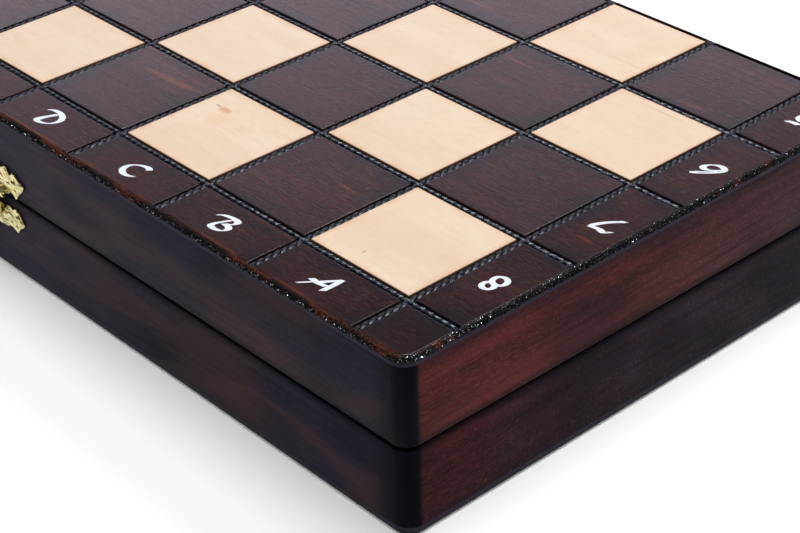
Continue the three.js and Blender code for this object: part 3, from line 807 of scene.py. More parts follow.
GLYPHS = {
    "A": [[(2.2, 3.9), (-1.2, -0.2), (-5.3, -5.1)], [(2.1, 3.3), (0.2, 0.9), (-1.0, -1.1)],
          [(2.1, 3.5), (2.2, 0.0), (2.1, -3.0)], [(-4.0, -1.2), (-1.2, -1.4), (1.4, -1.0)]],
    "B": [[(-5.1, 1.0), (-3.5, 2.2), (-0.9, 2.8), (1.5, 2.7), (2.2, 1.6), (1.2, 0.3), (-0.1, -0.4)],
          [(-0.1, -0.4), (1.9, -0.7), (2.8, -1.8), (1.9, -3.3), (-0.3, -3.9), (-2.1, -3.4), (-2.0, -1.9),
           (-1.0, 0.2),
           (0.0, 2.0)]],
    "C": [[(3.3, 2.2), (2.2, 2.9), (0.0, 2.5), (-2.2, 1.1), (-3.0, -0.8), (-2.3, -2.7), (-0.4, -3.7),
           (1.8, -3.5),
           (3.2, -2.6)]],
    "D": [[(-5.9, 2.5), (-4.5, 3.5), (-1.9, 3.8), (0.7, 3.0), (2.3, 1.0), (1.8, -1.4), (-0.1, -3.0),
           (-2.5, -3.5),
           (-3.6, -2.6), (-3.1, -0.8), (-2.1, 1.4), (-1.5, 2.8)],
          [(-1.1, 2.8), (-2.0, 0.8), (-2.9, -1.6), (-3.0, -2.8)]],
    "E": [[(1.9, 2.6), (0.4, 3.3), (-1.5, 2.8), (-2.2, 1.6), (-1.0, 0.4), (0.4, 0.2)],
          [(-1.0, 0.3), (-3.1, -0.7), (-3.8, -2.2), (-2.5, -3.5), (-0.2, -3.4), (1.7, -2.4)]],
    "F": [[(-0.3, 3.0), (-1.6, -0.2), (-3.0, -4.0)], [(-4.6, 2.0), (-3.2, 3.1), (-0.2, 3.0), (2.8, 3.5)],
          [(-3.3, -0.2), (-1.0, -0.3), (1.0, 0.1)]],
    "G": [[(3.0, 2.3), (1.8, 3.0), (-0.4, 2.6), (-2.6, 1.1), (-3.4, -0.8), (-2.6, -2.7), (-0.6, -3.5),
           (1.4, -2.8),
           (2.4, -0.7)], [(2.5, -0.5), (1.8, -2.6), (0.6, -4.3)]],
    "H": [[(-3.0, 3.5), (-3.9, -0.2), (-5.0, -3.8)], [(2.7, 3.6), (1.9, -0.2), (1.0, -3.9)],
          [(-4.2, -0.2), (-1.0, -0.3), (2.3, 0.2)]],
    "1": [[(-2.2, 2.1), (0.0, 3.4)], [(0.3, 3.7), (-0.6, -0.1), (-1.8, -4.0)]],
    "2": [[(-2.8, 2.2), (-1.4, 3.3), (0.8, 3.3), (1.6, 2.0), (0.3, -0.1), (-2.0, -2.2), (-3.6, -3.6)],
          [(-3.6, -3.5), (-1.2, -3.1), (2.0, -3.7)]],
    "3": [[(-2.5, 2.6), (-0.6, 3.5), (1.3, 2.7), (0.9, 1.1), (-1.0, 0.2)],
          [(-1.0, 0.2), (1.0, -0.4), (1.3, -2.2), (-0.5, -3.7), (-3.2, -3.1)]],
    "4": [[(0.2, 3.7), (-2.0, 0.9), (-3.9, -1.3)], [(-3.9, -1.5), (-0.6, -1.2), (2.2, -1.3)],
          [(1.3, 1.1), (0.4, -1.6), (-0.5, -4.0)]],
    "5": [[(-1.4, 3.3), (0.4, 3.2), (2.4, 3.6)], [(-1.5, 3.2), (-2.4, 0.8), (-0.4, 1.0), (1.2, -0.2),
                                                  (0.9, -2.2), (-1.0, -3.7),
           (-3.4, -3.2)]],
    "6": [[(2.2, 3.4), (1.4, 3.7), (-1.1, 1.5), (-3.1, -0.9), (-3.5, -2.7), (-2.2, -3.8), (-0.1, -3.5),
           (1.7, -1.8),
           (1.9, -0.3), (0.5, 0.3), (-1.3, -0.7), (-2.7, -2.2)], [(1.9, 3.2), (-0.7, 1.0), (-2.6, -1.2)]],
    "7": [[(-3.8, 1.7), (-2.6, 3.3), (-0.4, 2.9), (2.3, 3.4)],
          [(2.2, 3.3), (0.8, 0.4), (-1.2, -2.4), (-3.1, -4.2)],
          [(2.3, 2.8), (1.2, 0.2), (-0.8, -2.6), (-2.3, -3.9)], [(-3.2, -4.2), (-1.5, -3.6)]],
    "8": [ring(0.4, 1.65, 1.63), ring(-0.3, -1.75, 1.97)],
}


def smooth_line(points, steps=7):
    """Catmull-Rom curve through the points."""
    if len(points) == 2:
        return [Vector(points[0]).lerp(Vector(points[1]), i / steps) for i in range(steps + 1)]
    padded = [points[0], *points, points[-1]]
    line = []
    for p0, p1, p2, p3 in zip(padded, padded[1:], padded[2:], padded[3:]):
        p0, p1, p2, p3 = Vector(p0), Vector(p1), Vector(p2), Vector(p3)
        for step in range(steps):
            t = step / steps
            line.append(0.5 * (2 * p1 + (p2 - p0) * t + (2 * p0 - 5 * p1 + 4 * p2 - p3) * t * t
                               + (3 * p1 - p0 - 3 * p2 + p3) * t ** 3))
    line.append(Vector(points[-1]))
    return line


def nib_reach(direction, nib):
    """Point of the nib, a narrow ellipse at a fixed angle, that lies furthest in a direction."""
    long_way = Vector((math.cos(NIB_ANGLE), math.sin(NIB_ANGLE)))
    short_way = Vector((-long_way.y, long_way.x))
    along, across = direction.dot(long_way), direction.dot(short_way)
    size = math.hypot(nib[0] * along, nib[1] * across)
    return long_way * (nib[0] ** 2 * along / size) + short_way * (nib[1] ** 2 * across / size)


def stroke_outline(points, nib):
    """Closed outline of a nib stroke: up its left side, round the end and back down the right."""
    line = smooth_line(points)
    left, right = [], []
    for i, at in enumerate(line):
        heading = (line[min(i + 1, len(line) - 1)] - line[max(i - 1, 0)]).normalized()
        side = Vector((-heading.y, heading.x))
        reach = nib_reach(side, nib)
        left.append(at + reach)
        right.append(at - reach)
    return left, right


def label(builder, glyph, place, lift):
    for points in GLYPHS[glyph]:
        lift += STROKE_LIFT
        rings = []
        for a, b in zip(*stroke_outline(points, ROUND_NIB if glyph == "8" else NIB)):
            edge = (a - b).normalized() * PAINT_EDGE
            section = ((b, 0), (a, 0), (a - edge, lift), (b + edge, lift))
            rings.append([(point.x * MM, point.y * MM, level) for point, level in section])
        builder.rings(rings, place)


def labels(place, letters, digits):
    builder = Builder(place)
    middle = (BORDER + EDGE_BAND - GROOVE / 2) / 2
    for column, letter in enumerate(letters):
        at = Matrix.Translation((column_x(column), -DEPTH / 2 + middle, 0))
        label(builder, letter, at, PAINT_THICKNESS)
    for row, digit in enumerate(digits):
        for side, turn in ((1, math.pi), (-1, 0.0)):
            at = Matrix.Translation((side * (LENGTH / 2 - middle), row_y(row), 0))
            label(builder, digit, at @ Matrix.Rotation(turn, 4, "Z"), PAINT_THICKNESS)
    return builder


def board(half, looks):
    place, body = half_place(half), BODIES[half]
    mirrored = half == "lower"
    letters = FILES[::-1] if mirrored else FILES
    digits = "1234" if mirrored else "8765"
    node = f"{half}_board_panel"
    add_object(f"{half}_board_core", board_core(half, place), looks["smooth"], body, [node])
    parts = (
        ("light_squares", squares(place, True), looks["light_square"]),
        ("dark_squares", squares(place, False), looks["dark_board"]),
        ("border_cells", border_cells(place), looks["border"]),
        ("cord_lines", cord_lines(place, 11), looks["cord"]),
        ("edge_band", edge_band(half, place, 23), looks["edge"]),
        ("labels", labels(place, letters, digits), looks["label"]),
    )
    for name, builder, material in parts:
        add_object(f"{half}_{name}", builder.mesh(f"{half}_{name}"), material, body)


# ---- Case walls ----

WALL_TURNS = {"front": 0.0, "back": math.pi, "left": -math.pi / 2, "right": math.pi / 2}
RIM_GAP = 0.2 * MM
BACK_ROUND = 0.5 * MM
BAND_SEAT = 0.1 * MM
BAND_LEDGE = 0.35 * MM


def wall_outline(half_run, outer, inset, thickness=WALL):
    """Plan of a mitred wall along x with its outer face at y = -outer, shrunk by inset between the mitres."""
    centre_x, centre_y = half_run - CORNER_RADIUS, -outer + CORNER_RADIUS
    radius = CORNER_RADIUS - inset
    right = []
    for degrees in (-90, -84, -78, -72, -66, -60, -54, -48, -45.3, -45):
        angle = math.radians(degrees)
        right.append((centre_x + radius * math.cos(angle), centre_y + radius * math.sin(angle)))
    thick = thickness - inset
    right.append((half_run - thick, -outer + thick))
    return right + [(-x, y) for x, y in reversed(right)]


def wall_mesh(half, name, place):
    """A wall from the rim up to the board edge, with a lip round the panel, drawn in board coordinates."""
    builder = Builder(place)
    half_run, outer = (DEPTH / 2, LENGTH / 2) if name in ("left", "right") else (LENGTH / 2, DEPTH / 2)
    rim = -SEAM_Z + RIM_GAP
    rings = []
    for inset, drop in reversed(quarter_round(RIM_ROUND)):
        rings.append([(x, y, rim + drop) for x, y in wall_outline(half_run, outer, inset)])
    levels = [(-PANEL, 0.0, WALL), (-PANEL, 0.0, LIP)]
    if name == "back":
        levels += [(-drop, inset, LIP) for inset, drop in quarter_round(BACK_ROUND)]
    else:
        levels += [(-EDGE_RADIUS - BAND_SEAT, 0.0, LIP), (-EDGE_RADIUS, BAND_LEDGE, LIP)]
    for level, inset, thickness in levels:
        rings.append([(x, y, level) for x, y in wall_outline(half_run, outer, inset, thickness)])
    builder.rings(rings, Matrix.Rotation(WALL_TURNS[name], 4, "Z"))
    return builder.mesh(f"{half}_{name}_wall_face")


def hinge_beds(half):
    """Cutters for the leaf beds and knuckle hollows in the back wall of a half."""
    level = 1 if half == "upper" else -1
    half_run, radius = HINGE_HALF + BED_SLACK, KNUCKLE + BED_SLACK
    cutters = []
    for centre in HINGE_CENTRES.values():
        bed = Builder()
        near, far = sorted((SEAM_Z - level * MM, SEAM_Z + level * (LEAF_FAR + BED_SLACK)))
        low = (centre - half_run, LEAF_LOW.y - BED_SLACK, near)
        bed.rings(block_rings(low, (centre + half_run, AXIS_Y + 3 * MM, far)))
        cutters.append(cutter_object(bed))
        hollow = Builder(Matrix.Translation((centre, AXIS_Y, SEAM_Z)) @ Matrix.Rotation(math.pi / 2, 4, "Y"))
        disc(hollow, None, [(radius, -half_run), (radius, half_run)], 32)
        cutters.append(cutter_object(hollow))
    return cutters


def case_walls(half, looks):
    place, body = half_place(half), BODIES[half]
    mirrored = {"left": "right", "right": "left"} if half == "lower" else {}
    for name in ("front", "back", "left", "right"):
        look = looks["case_x_painted_reflection"] if name in ("front", "back") else looks["case_y"]
        mesh = wall_mesh(half, mirrored.get(name, name), place)
        wall = add_object(f"{half}_{name}_wall_face", mesh, look, body, [f"{half}_{name}_wall"])
        if name == "back":
            carve(wall, hinge_beds(half))


# ---- Lining and inserts ----

TURN_OVER = Matrix.Rotation(math.pi, 4, "Y")
POCKET_GAP = 0.8 * MM


def fillet(points, radius, steps=5):
    """Rounds the corners of a closed outline."""
    outline = []
    count = len(points)
    for i, at in enumerate(points):
        here = Vector(at)
        before = Vector(points[i - 1]) - here
        after = Vector(points[(i + 1) % count]) - here
        reach = min(radius, before.length * 0.48, after.length * 0.48)
        start, end = here + before.normalized() * reach, here + after.normalized() * reach
        for step in range(steps + 1):
            t = step / steps
            outline.append((1 - t) ** 2 * start + 2 * t * (1 - t) * here + t * t * end)
    return outline


def filled_outline(name, outlines, thickness, edge, resolution=3):
    """Closed mesh of a flat shape with holes and rounded edges, centred on z = 0."""
    curve = bpy.data.curves.new(name, "CURVE")
    curve.dimensions = "2D"
    curve.fill_mode = "BOTH"
    curve.extrude = thickness / 2 - edge
    curve.bevel_depth = edge
    curve.bevel_resolution = resolution
    curve.offset = -edge
    for outline in outlines:
        spline = curve.splines.new("POLY")
        spline.points.add(len(outline) - 1)
        for point, (x, y) in zip(spline.points, outline):
            point.co = (x, y, 0, 1)
        spline.use_cyclic_u = True
    obj = link_object(name, curve)
    mesh = evaluated_mesh(obj)
    bpy.data.objects.remove(obj)
    return mesh


def pocket_outline(kind, centre_x, foot_y, ahead):
    """Opening round a lying man: wide at the foot, narrow along the stem and round the head."""
    radius, height, waist, head = POCKETS[kind]
    wide, narrow = radius * MM + POCKET_GAP, head * MM + POCKET_GAP
    end = height * MM + POCKET_GAP
    right = [(wide, -POCKET_GAP), (wide, waist * MM), (narrow, (waist + 5) * MM), (narrow, end)]
    points = right + [(-x, y) for x, y in reversed(right)]
    return [(centre_x + p.x, foot_y + ahead * p.y) for p in fillet(points, 4 * MM)]


# Radius and height of each man, where its foot ends, and the half-width of what is above, in millimetres.
POCKETS = {
    "king": (13, 65, 12, 9.6), "queen": (12.5, 58, 12, 9.4), "bishop": (11.5, 51, 11, 8),
    "rook": (11.5, 41, 11, 9.4),
    "pawn": (10.5, 36, 10, 7.4), "knight": (11.5, 47, 15, 10.4),
}


def men_of(half):
    """Node name, kind, foot position and facing of every man of a half, from the frame."""
    side = "dark" if half == "lower" else "light"
    names = ["rook_a", "knight_b", "bishop_c", "queen", "king", "bishop_f", "knight_g", "rook_h"]
    names += [f"pawn_{letter}" for letter in "abcdefgh"]
    men = []
    for name in names:
        low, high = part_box(f"{side}_{name}")
        kind = name.split("_")[0]
        ahead = -1 if kind == "pawn" else 1
        centre = (low + high) / 2
        foot = Vector((centre.x, low.y if ahead > 0 else high.y, centre.z))
        men.append((f"{side}_{name}", kind, foot, ahead))
    return men


FELT_EDGE = 0.3 * MM
FELT_CORNER = 1.5 * MM
FOAM_EDGE = 0.9 * MM
FOAM_CORNER = 2 * MM


def felt_lining(half, look):
    low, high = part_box(f"{half}_liner")
    size = high - low
    builder = Builder(Matrix.Translation((low + high) / 2))
    rings = []
    for inset, level in ((FELT_EDGE, -0.5), (0, -0.2), (0, 0.2), (FELT_EDGE, 0.5)):
        outline = rounded_rectangle(size.x / 2 - inset, size.y / 2 - inset, FELT_CORNER)
        rings.append([(x, y, level * size.z) for x, y in outline])
    builder.rings(rings)
    name = f"{half}_felt_lining"
    cloth = add_object(name, builder.mesh(name), look, BODIES[half], [f"{half}_liner"])


def foam_insert(half, look):
    low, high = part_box(f"{half}_insert")
    size = high - low
    outlines = [rounded_rectangle(size.x / 2, size.y / 2, FOAM_CORNER)]
    for _, kind, foot, ahead in men_of(half):
        outlines.append(pocket_outline(kind, foot.x, foot.y, ahead))
    name = f"{half}_foam_insert"
    mesh = filled_outline(name, outlines, size.z, FOAM_EDGE)
    mesh.transform(Matrix.Translation((0, 0, (low.z + high.z) / 2)))
    foam = add_object(name, mesh, look, BODIES[half], [f"{half}_insert"])


# ---- Chessmen: turned profiles as runs of (radius, height) in millimetres; runs meet in crisp edges ----

TURNS = 48
PAD_SHARE = 0.87
FOOT = [[(0, 0.5), (11.9, 0.5)], [(12.6, 0.7), (13, 1.4), (13, 3.4), (12.5, 4.2)], [(11.6, 4.5), (11.6, 4.9)],
        [(11.9, 5.2), (11.3, 6.6), (9.2, 8.6)], [(8.6, 8.9), (8.6, 9.5)]]
PROFILES = {
    "king": (13, [
        [(7.9, 9.8), (6.4, 12.6), (5.1, 18), (4.4, 25), (4.2, 32), (4.6, 37.2)],
        [(5.2, 37.6), (7.6, 38.6), (8.2, 39.4),
         (7.6, 40.2)], [(6.0, 40.6), (6.0, 41.2)], [(6.6, 41.4), (7.0, 42.1), (6.6, 42.8)],
        [(5.3, 43.2), (5.3, 43.9)],
        [(5.6, 44.4), (6.2, 48), (7.6, 53), (8.9, 56.2)], [(9.0, 56.4), (9.0, 57.2)],
        [(8.2, 57.6), (5.6, 58.8), (2.6, 59.8)], [(1.6, 60.0), (1.4, 60.6), (0, 60.6)]]),
    "queen": (12.5, [
        [(7.6, 9.8), (6.1, 12.4), (4.9, 17), (4.2, 23), (4.0, 29), (4.4, 33.4)],
        [(5.0, 33.8), (7.3, 34.7), (7.9, 35.5),
         (7.3, 36.3)], [(5.7, 36.7), (5.7, 37.2)], [(6.2, 37.4), (6.6, 38.0), (6.2, 38.6)],
        [(5.0, 39.0), (5.0, 39.6)],
        [(5.2, 40.2), (5.8, 43.4), (7.2, 48), (8.7, 51.2)], [(8.8, 51.4), (8.2, 51.9)],
        [(7.2, 51.2), (6.8, 50.8)],
        [(5.4, 52.2), (3.2, 53.4), (1.6, 53.9)], [(1.5, 54.0), (2.1, 54.6), (2.5, 55.7), (1.9, 57.2),
                                                  (0, 57.9)]]),
    "bishop": (11.5, [
        [(7.0, 9.6), (5.5, 12), (4.4, 16), (3.8, 21), (3.7, 26), (4.0, 29.2)],
        [(4.6, 29.6), (6.7, 30.4), (7.2, 31.1),
         (6.7, 31.8)], [(5.0, 32.2), (5.0, 32.7)], [(5.5, 32.9), (5.8, 33.5), (5.5, 34.1)],
        [(4.1, 34.5), (4.1, 35.2)],
        [(4.6, 35.8), (6.2, 38.2), (6.7, 40.6), (6.0, 43.6), (4.0, 46.4), (1.9, 48.2)],
        [(1.3, 48.3), (1.8, 48.9), (1.9, 49.7), (1.3, 50.6), (0, 50.95)]]),
    "rook": (11.5, [
        [(7.6, 9.6), (6.8, 12), (6.0, 17), (5.8, 22), (6.1, 26.4)], [(6.6, 26.8), (8.0, 27.6), (8.0, 28.6)],
        [(7.2, 29.0), (7.2, 29.6)], [(7.6, 30.0), (8.7, 31.6), (8.8, 33.0)], [(8.8, 41.0)], [(6.4, 41.0)],
        [(6.2, 36.2)], [(4.6, 35.9), (0, 35.7)]]),
    "pawn": (10.5, [
        [(6.2, 9.2), (4.8, 11.4), (3.9, 15), (3.6, 19), (3.9, 21.2)], [(4.6, 21.6), (6.4, 22.3), (6.8, 23),
         (6.4, 23.6)], [(4.4, 24.0), (4.0, 24.6)],
        [(4.2, 24.9), (6.0, 27.2), (6.5, 30.0), (5.6, 33.2), (3.2, 35.3), (0, 35.95)]]),
    "knight": (11.5, [[(8.0, 9.8), (7.4, 10.6), (7.4, 12.2), (7.9, 13.2)], [(7.6, 14.0), (0, 14.0)]]),
}


def turned_profile(kind):
    """Radius and height pairs from the foot's centre to the top, smooth within each run."""
    radius, runs = PROFILES[kind]
    grow = radius / 13
    foot = [[(r * grow, h) for r, h in run] for run in FOOT]
    line = []
    for run in foot + runs:
        if len(run) < 3:
            line.extend(Vector(p) for p in run)
        else:
            line.extend(smooth_line(run, 4))
    return line


def turned_mesh(kind):
    """A man standing on y = 0 with its axis along +y."""
    builder = Builder()
    profile = turned_profile(kind)
    points = [(0, profile[0].y * MM, 0)]
    rings = [p for p in profile if p.x > 0]
    for p in rings:
        points.extend((p.x * MM * cos, p.y * MM, -p.x * MM * sin) for cos, sin in circle(TURNS))
    points.append((0, profile[-1].y * MM, 0))
    builder.add(points, pole_faces(TURNS, len(rings)))
    return builder


def bar(builder, low, high):
    """A plain block for cutters, with its corners in millimetres."""
    builder.rings([mm(ring) for ring in block_rings(low, high)])


def man_cutters(kind):
    """Slots of the rook's wall, notches of the queen's crown and the slit of the bishop's mitre."""
    cutters = []
    if kind == "rook":
        for i in range(3):
            cutters.append(Builder(Matrix.Rotation(math.pi / 3 * i, 4, "Y")))
            bar(cutters[-1], (-12, 37.2, -1.1), (12, 42, 1.1))
    if kind == "queen":
        notch = [(1.5 * MM * cos, 51.9 * MM + 1.5 * MM * sin) for cos, sin in circle(12)]
        for i in range(4):
            cutters.append(Builder(Matrix.Rotation(math.pi / 4 * i, 4, "Y")))
            cutters[-1].rings([[(x, y, z) for x, y in notch] for z in (-10 * MM, 10 * MM)])
    if kind == "bishop":
        tip = Matrix.Translation((0, 42.4 * MM, 0))
        cutters.append(Builder(tip @ Matrix.Rotation(math.radians(38), 4, "Z")))
        bar(cutters[-1], (0.8, -0.55, -9), (9, 0.55, 9))
    return [cutter_object(cutter) for cutter in cutters]


def man_object(kind):
    """The shape of one kind of man as a scratch object, cut and finished."""
    obj = cutter_object(turned_mesh(kind))
    cutters = man_cutters(kind)
    if cutters:
        carve(obj, cutters)
    return obj


CROSS = [(0.7, 60.2), (0.55, 61.9), (2.1, 61.5), (2.1, 63.4), (0.55, 63.0), (0.75, 64.9)]

HORSE = [(7.2, 13.2), (7.9, 17), (8.3, 23), (8.2, 29), (7.0, 35), (5.0, 39.6), (3.4, 42.2), (2.6, 45.2),
         (1.7, 46.8),
         (0.6, 44.6), (-0.6, 42.6), (-2.4, 41.4), (-5.4, 38.6), (-8.4, 35.6), (-9.7, 33.4), (-9.6, 31.4),
         (-8.2, 30.6),
         (-6.4, 31.0), (-4.6, 31.2), (-2.6, 30.2), (-1.9, 28.2), (-3.4, 25.4), (-5.6, 22), (-6.9, 18),
         (-7.2, 13.2)]
HORSE_HALF_THICKNESS = 5.3
HORSE_ROUNDING = 4.6
HORSE_VOXEL = 0.42 * MM


def outline_depth(at, outline):
    """Distance from a point to the nearest edge of an outline."""
    nearest = 1e9
    for a, b in zip(outline, outline[1:] + outline[:1]):
        run = b - a
        t = max(0.0, min(1.0, (at - a).dot(run) / run.length_squared))
        nearest = min(nearest, (at - a - run * t).length)
    return nearest


def dent(at, centre, radius):
    """1 at the centre of a round spot, falling smoothly to 0 at its radius."""
    share = min(1.0, (at - Vector(centre)).length / radius)
    return (1 - share * share) ** 2


def horse_swell(at, depth):
    """Half-thickness of the horse's head and neck at a point of its side view, in millimetres."""
    inner = min(1.0, depth / HORSE_ROUNDING)
    swell = HORSE_HALF_THICKNESS * math.sqrt(1 - (1 - inner) ** 2)
    muzzle = max(0.0, min(1.0, (-at.x - 1.0) / 8)) * max(0.0, min(1.0, (at.y - 28) / 4))
    swell *= 1 - 0.42 * muzzle
    swell += 0.75 * dent(at, (-0.8, 33.6), 4.2) - 0.5 * dent(at, (-3.4, 36.4), 2.0)
    swell += 0.62 * dent(at, (-3.3, 36.5), 1.05) - 0.8 * dent(at, (-8.2, 33.0), 1.0)
    mouth = abs((at.y - 31.9) - 0.12 * (at.x + 9))
    if at.x < -5.2 and mouth < 0.5:
        swell -= 0.7 * (1 - mouth / 0.5)
    if at.x > 1.5 and depth < 4.2 and at.y > 15:
        swell += 0.5 * math.sin(at.y * 1.75 + at.x * 1.1) * (1 - depth / 4.2)
    return max(0.25, swell)


def horse_mesh():
    """Horse's head and neck, built flat, remeshed, then swelled to both sides."""
    outline = [Vector(p) for p in smooth_line(HORSE + HORSE[:1], 4)[:-1]]
    builder = Builder()
    builder.rings([[(p.x * MM, p.y * MM, z) for p in reversed(outline)] for z in (MM, -MM)])
    obj = cutter_object(builder)
    remesh = obj.modifiers.new("remesh", "REMESH")
    remesh.mode = "VOXEL"
    remesh.voxel_size = HORSE_VOXEL
    mesh = evaluated_mesh(obj)
    bpy.data.objects.remove(obj)
    for vertex in mesh.vertices:
        at = Vector((vertex.co.x, vertex.co.y)) / MM
        ears = 1.0 if at.y < 43.4 else 0.75
        vertex.co.z *= horse_swell(at, outline_depth(at, outline)) * ears
    work = bmesh.new()
    work.from_mesh(mesh)
    for _ in range(2):
        bmesh.ops.smooth_vert(work, verts=work.verts, factor=0.5, use_axis_x=True, use_axis_y=True,
                              use_axis_z=True)
    work.to_mesh(mesh)
    work.free()
    return mesh


def join_meshes(name, meshes):
    work = bmesh.new()
    for mesh in meshes:
        work.from_mesh(mesh)
    joined = bpy.data.meshes.new(name)
    work.to_mesh(joined)
    work.free()
    return joined


def man_meshes():
    shapes = {}
    for kind in PROFILES:
        obj = man_object(kind)
        shapes[kind] = obj.data
        bpy.data.objects.remove(obj)
    cross = [Vector(p) * MM for p in CROSS]
    outline = [(p.x, p.y) for p in cross] + [(-p.x, p.y) for p in reversed(cross)]
    flat = filled_outline("king_cross", [outline], 1.7 * MM, 0.25 * MM, 2)
    shapes["king"] = join_meshes("king", [shapes["king"], flat])
    shapes["knight"] = join_meshes("knight", [shapes["knight"], horse_mesh()])
    return shapes


def foot_felt(radius):
    builder = Builder()
    rings = []
    for level, grow in ((0.06, 0.985), (0.12, 1.0), (0.5, 1.0)):
        wide = radius * grow
        rings.append([(wide * cos, level * MM, -wide * sin) for cos, sin in circle(TURNS)])
    builder.rings(rings)
    return builder


def chessmen(half, shapes, looks):
    body = BODIES[half]
    light = half == "upper"
    wood, slot = (looks["light_men"], "light_chessmen") if light else (looks["dark_men"], "dark_chessmen")
    for node, kind, foot, ahead in men_of(half):
        place = Matrix.Translation(foot)
        if ahead < 0:
            place = place @ Matrix.Rotation(math.pi, 4, "Z")
        if light:
            place = place @ TURN_OVER
        mesh = shapes[kind].copy()
        mesh.transform(place)
        add_object(f"{node}_turned", mesh, wood, body, [node], 40)
        pad_mesh = foot_felt(PROFILES[kind][0] * PAD_SHARE * MM).mesh(f"{node}_felt")
        pad_mesh.transform(place)
        add_object(f"{node}_felt", pad_mesh, looks["pad"], body)


# ---- Hinges ----

LEAF_LOW, LEAF_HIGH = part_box("left_hinge_lower_leaf")
PIN_LOW, PIN_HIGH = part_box("left_hinge_pin")
AXIS_Y = (PIN_LOW.y + PIN_HIGH.y) / 2
HINGE_HALF = (LEAF_HIGH.x - LEAF_LOW.x) / 2
HINGE_CENTRES = {"left": (LEAF_LOW.x + LEAF_HIGH.x) / 2, "right": -(LEAF_LOW.x + LEAF_HIGH.x) / 2}
KNUCKLE = LEAF_HIGH.y - AXIS_Y
BORE = 1.2 * MM
LEAF_NEAR = 0.2 * MM
LEAF_FAR = 1.1 * MM
LEAF_CORNER = 1.2 * MM
BED_SLACK = 0.25 * MM
SCREW_X = 8 * MM
SCREW_Y = 3.6 * MM
SCREW_INSET = 1.2 * MM
KNUCKLE_BREAK = HINGE_HALF / 3
KNUCKLE_GAP = 0.4 * MM


def tube(builder, start, end, outer, bore, place, segments=28):
    """Knuckle along x with broken edges."""
    edge = 0.18 * MM
    section = [(start, bore), (start, outer - edge), (start + edge, outer), (end - edge, outer),
               (end, outer - edge),
               (end, bore)]
    points, faces = [], []
    count = len(section)
    for cos, sin in circle(segments):
        points.extend((x, r * cos, r * sin) for x, r in section)
    for i in range(segments):
        j = (i + 1) % segments
        for k in range(count):
            m = (k + 1) % count
            faces.append((i * count + k, i * count + m, j * count + m, j * count + k))
    builder.add(points, faces, place)


def disc(builder, place, outline, segments=24):
    """Solid of revolution about z from (radius, height) pairs, bottom first."""
    rings = [[(radius * cos, radius * sin, level) for cos, sin in circle(segments)] for radius,
             level in outline]
    builder.rings(rings, place)


def leaf_plate(name, level):
    """Flat leaf with countersunk holes, notched where the other leaf's knuckles turn."""
    reach = LEAF_LOW.y - AXIS_Y
    tail = -KNUCKLE * 0.5
    corners = [(-HINGE_HALF, reach), (HINGE_HALF, reach), (HINGE_HALF, tail), (-HINGE_HALF, tail)]
    plate = filled_outline(name, [fillet(corners, LEAF_CORNER, 4)], LEAF_FAR - LEAF_NEAR, 0.15 * MM, 2)
    plate.transform(Matrix.Translation((0, 0, (LEAF_NEAR + LEAF_FAR) / 2)))
    obj = link_object(name, plate)
    cutters = []
    for side in (-1, 1):
        hole = Builder()
        disc(hole, screw_place(side), [(2.0 * MM, 0), (2.0 * MM, LEAF_NEAR + 0.1 * MM),
                                       (1.1 * MM, LEAF_FAR + 0.5 * MM)])
        cutters.append(cutter_object(hole))
    middle = KNUCKLE_BREAK
    outer_notches = [(-HINGE_HALF - MM, -middle), (middle, HINGE_HALF + MM)]
    middle_notch = [(-middle - KNUCKLE_GAP, middle + KNUCKLE_GAP)]
    for start, end in outer_notches if level > 0 else middle_notch:
        notch = Builder()
        notch.rings(block_rings((start, -KNUCKLE - 0.3 * MM, -MM), (end, MM, 3 * MM)))
        cutters.append(cutter_object(notch))
    carve(obj, cutters)
    mesh = obj.data
    bpy.data.objects.remove(obj)
    return mesh


def leaf_knuckles(name, level):
    """The upper leaf's knuckle in the middle, or the lower leaf's two outer ones."""
    middle = KNUCKLE_BREAK
    outer = [(-HINGE_HALF, -middle - KNUCKLE_GAP), (middle + KNUCKLE_GAP, HINGE_HALF)]
    knuckles = Builder()
    for start, end in [(-middle, middle)] if level > 0 else outer:
        tube(knuckles, start, end, KNUCKLE, BORE, Matrix.Identity(4))
    return knuckles.mesh(name)


def screw_place(side):
    return Matrix.Translation((side * SCREW_X, -SCREW_Y - SCREW_INSET, 0))


def screw_meshes():
    """Two countersunk screws with slotted heads."""
    builder = Builder()
    slots = []
    for side in (-1, 1):
        disc(builder, screw_place(side), [(1.7 * MM, LEAF_NEAR + 0.03 * MM),
                                          (1.88 * MM, LEAF_NEAR + 0.1 * MM),
                                          (1.0 * MM, LEAF_FAR + 0.2 * MM), (0.9 * MM, LEAF_FAR + 3 * MM)])
        slot = Builder(screw_place(side) @ Matrix.Rotation(side * 0.7 + 0.2, 4, "Z"))
        slot.rings(block_rings((-2.2 * MM, -0.2 * MM, 0), (2.2 * MM, 0.2 * MM, LEAF_NEAR + 0.35 * MM)))
        slots.append(slot)
    screws = link_object("screws", builder.mesh("screws"))
    carve(screws, [cutter_object(slot) for slot in slots])
    mesh = screws.data
    bpy.data.objects.remove(screws)
    return mesh


def hinge_leaf(name, centre, level, look):
    """One leaf with its knuckles and screws; level is -1 on the lower rim, 1 on the upper."""
    flip = Matrix.Identity(4) if level > 0 else Matrix.Scale(-1, 4, (0, 0, 1))
    place = Matrix.Translation((centre, AXIS_Y, SEAM_Z)) @ flip
    body = BODIES["upper" if level > 0 else "lower"]
    leaf = join_meshes(name, [leaf_plate(name, level), leaf_knuckles(name, level)])
    for mesh, part, nodes in ((leaf, "plate", [name]), (screw_meshes(), "screws", [])):
        mesh.transform(place)
        if level < 0:
            mesh.flip_normals()
        add_object(f"{name}_{part}", mesh, look, body, nodes)


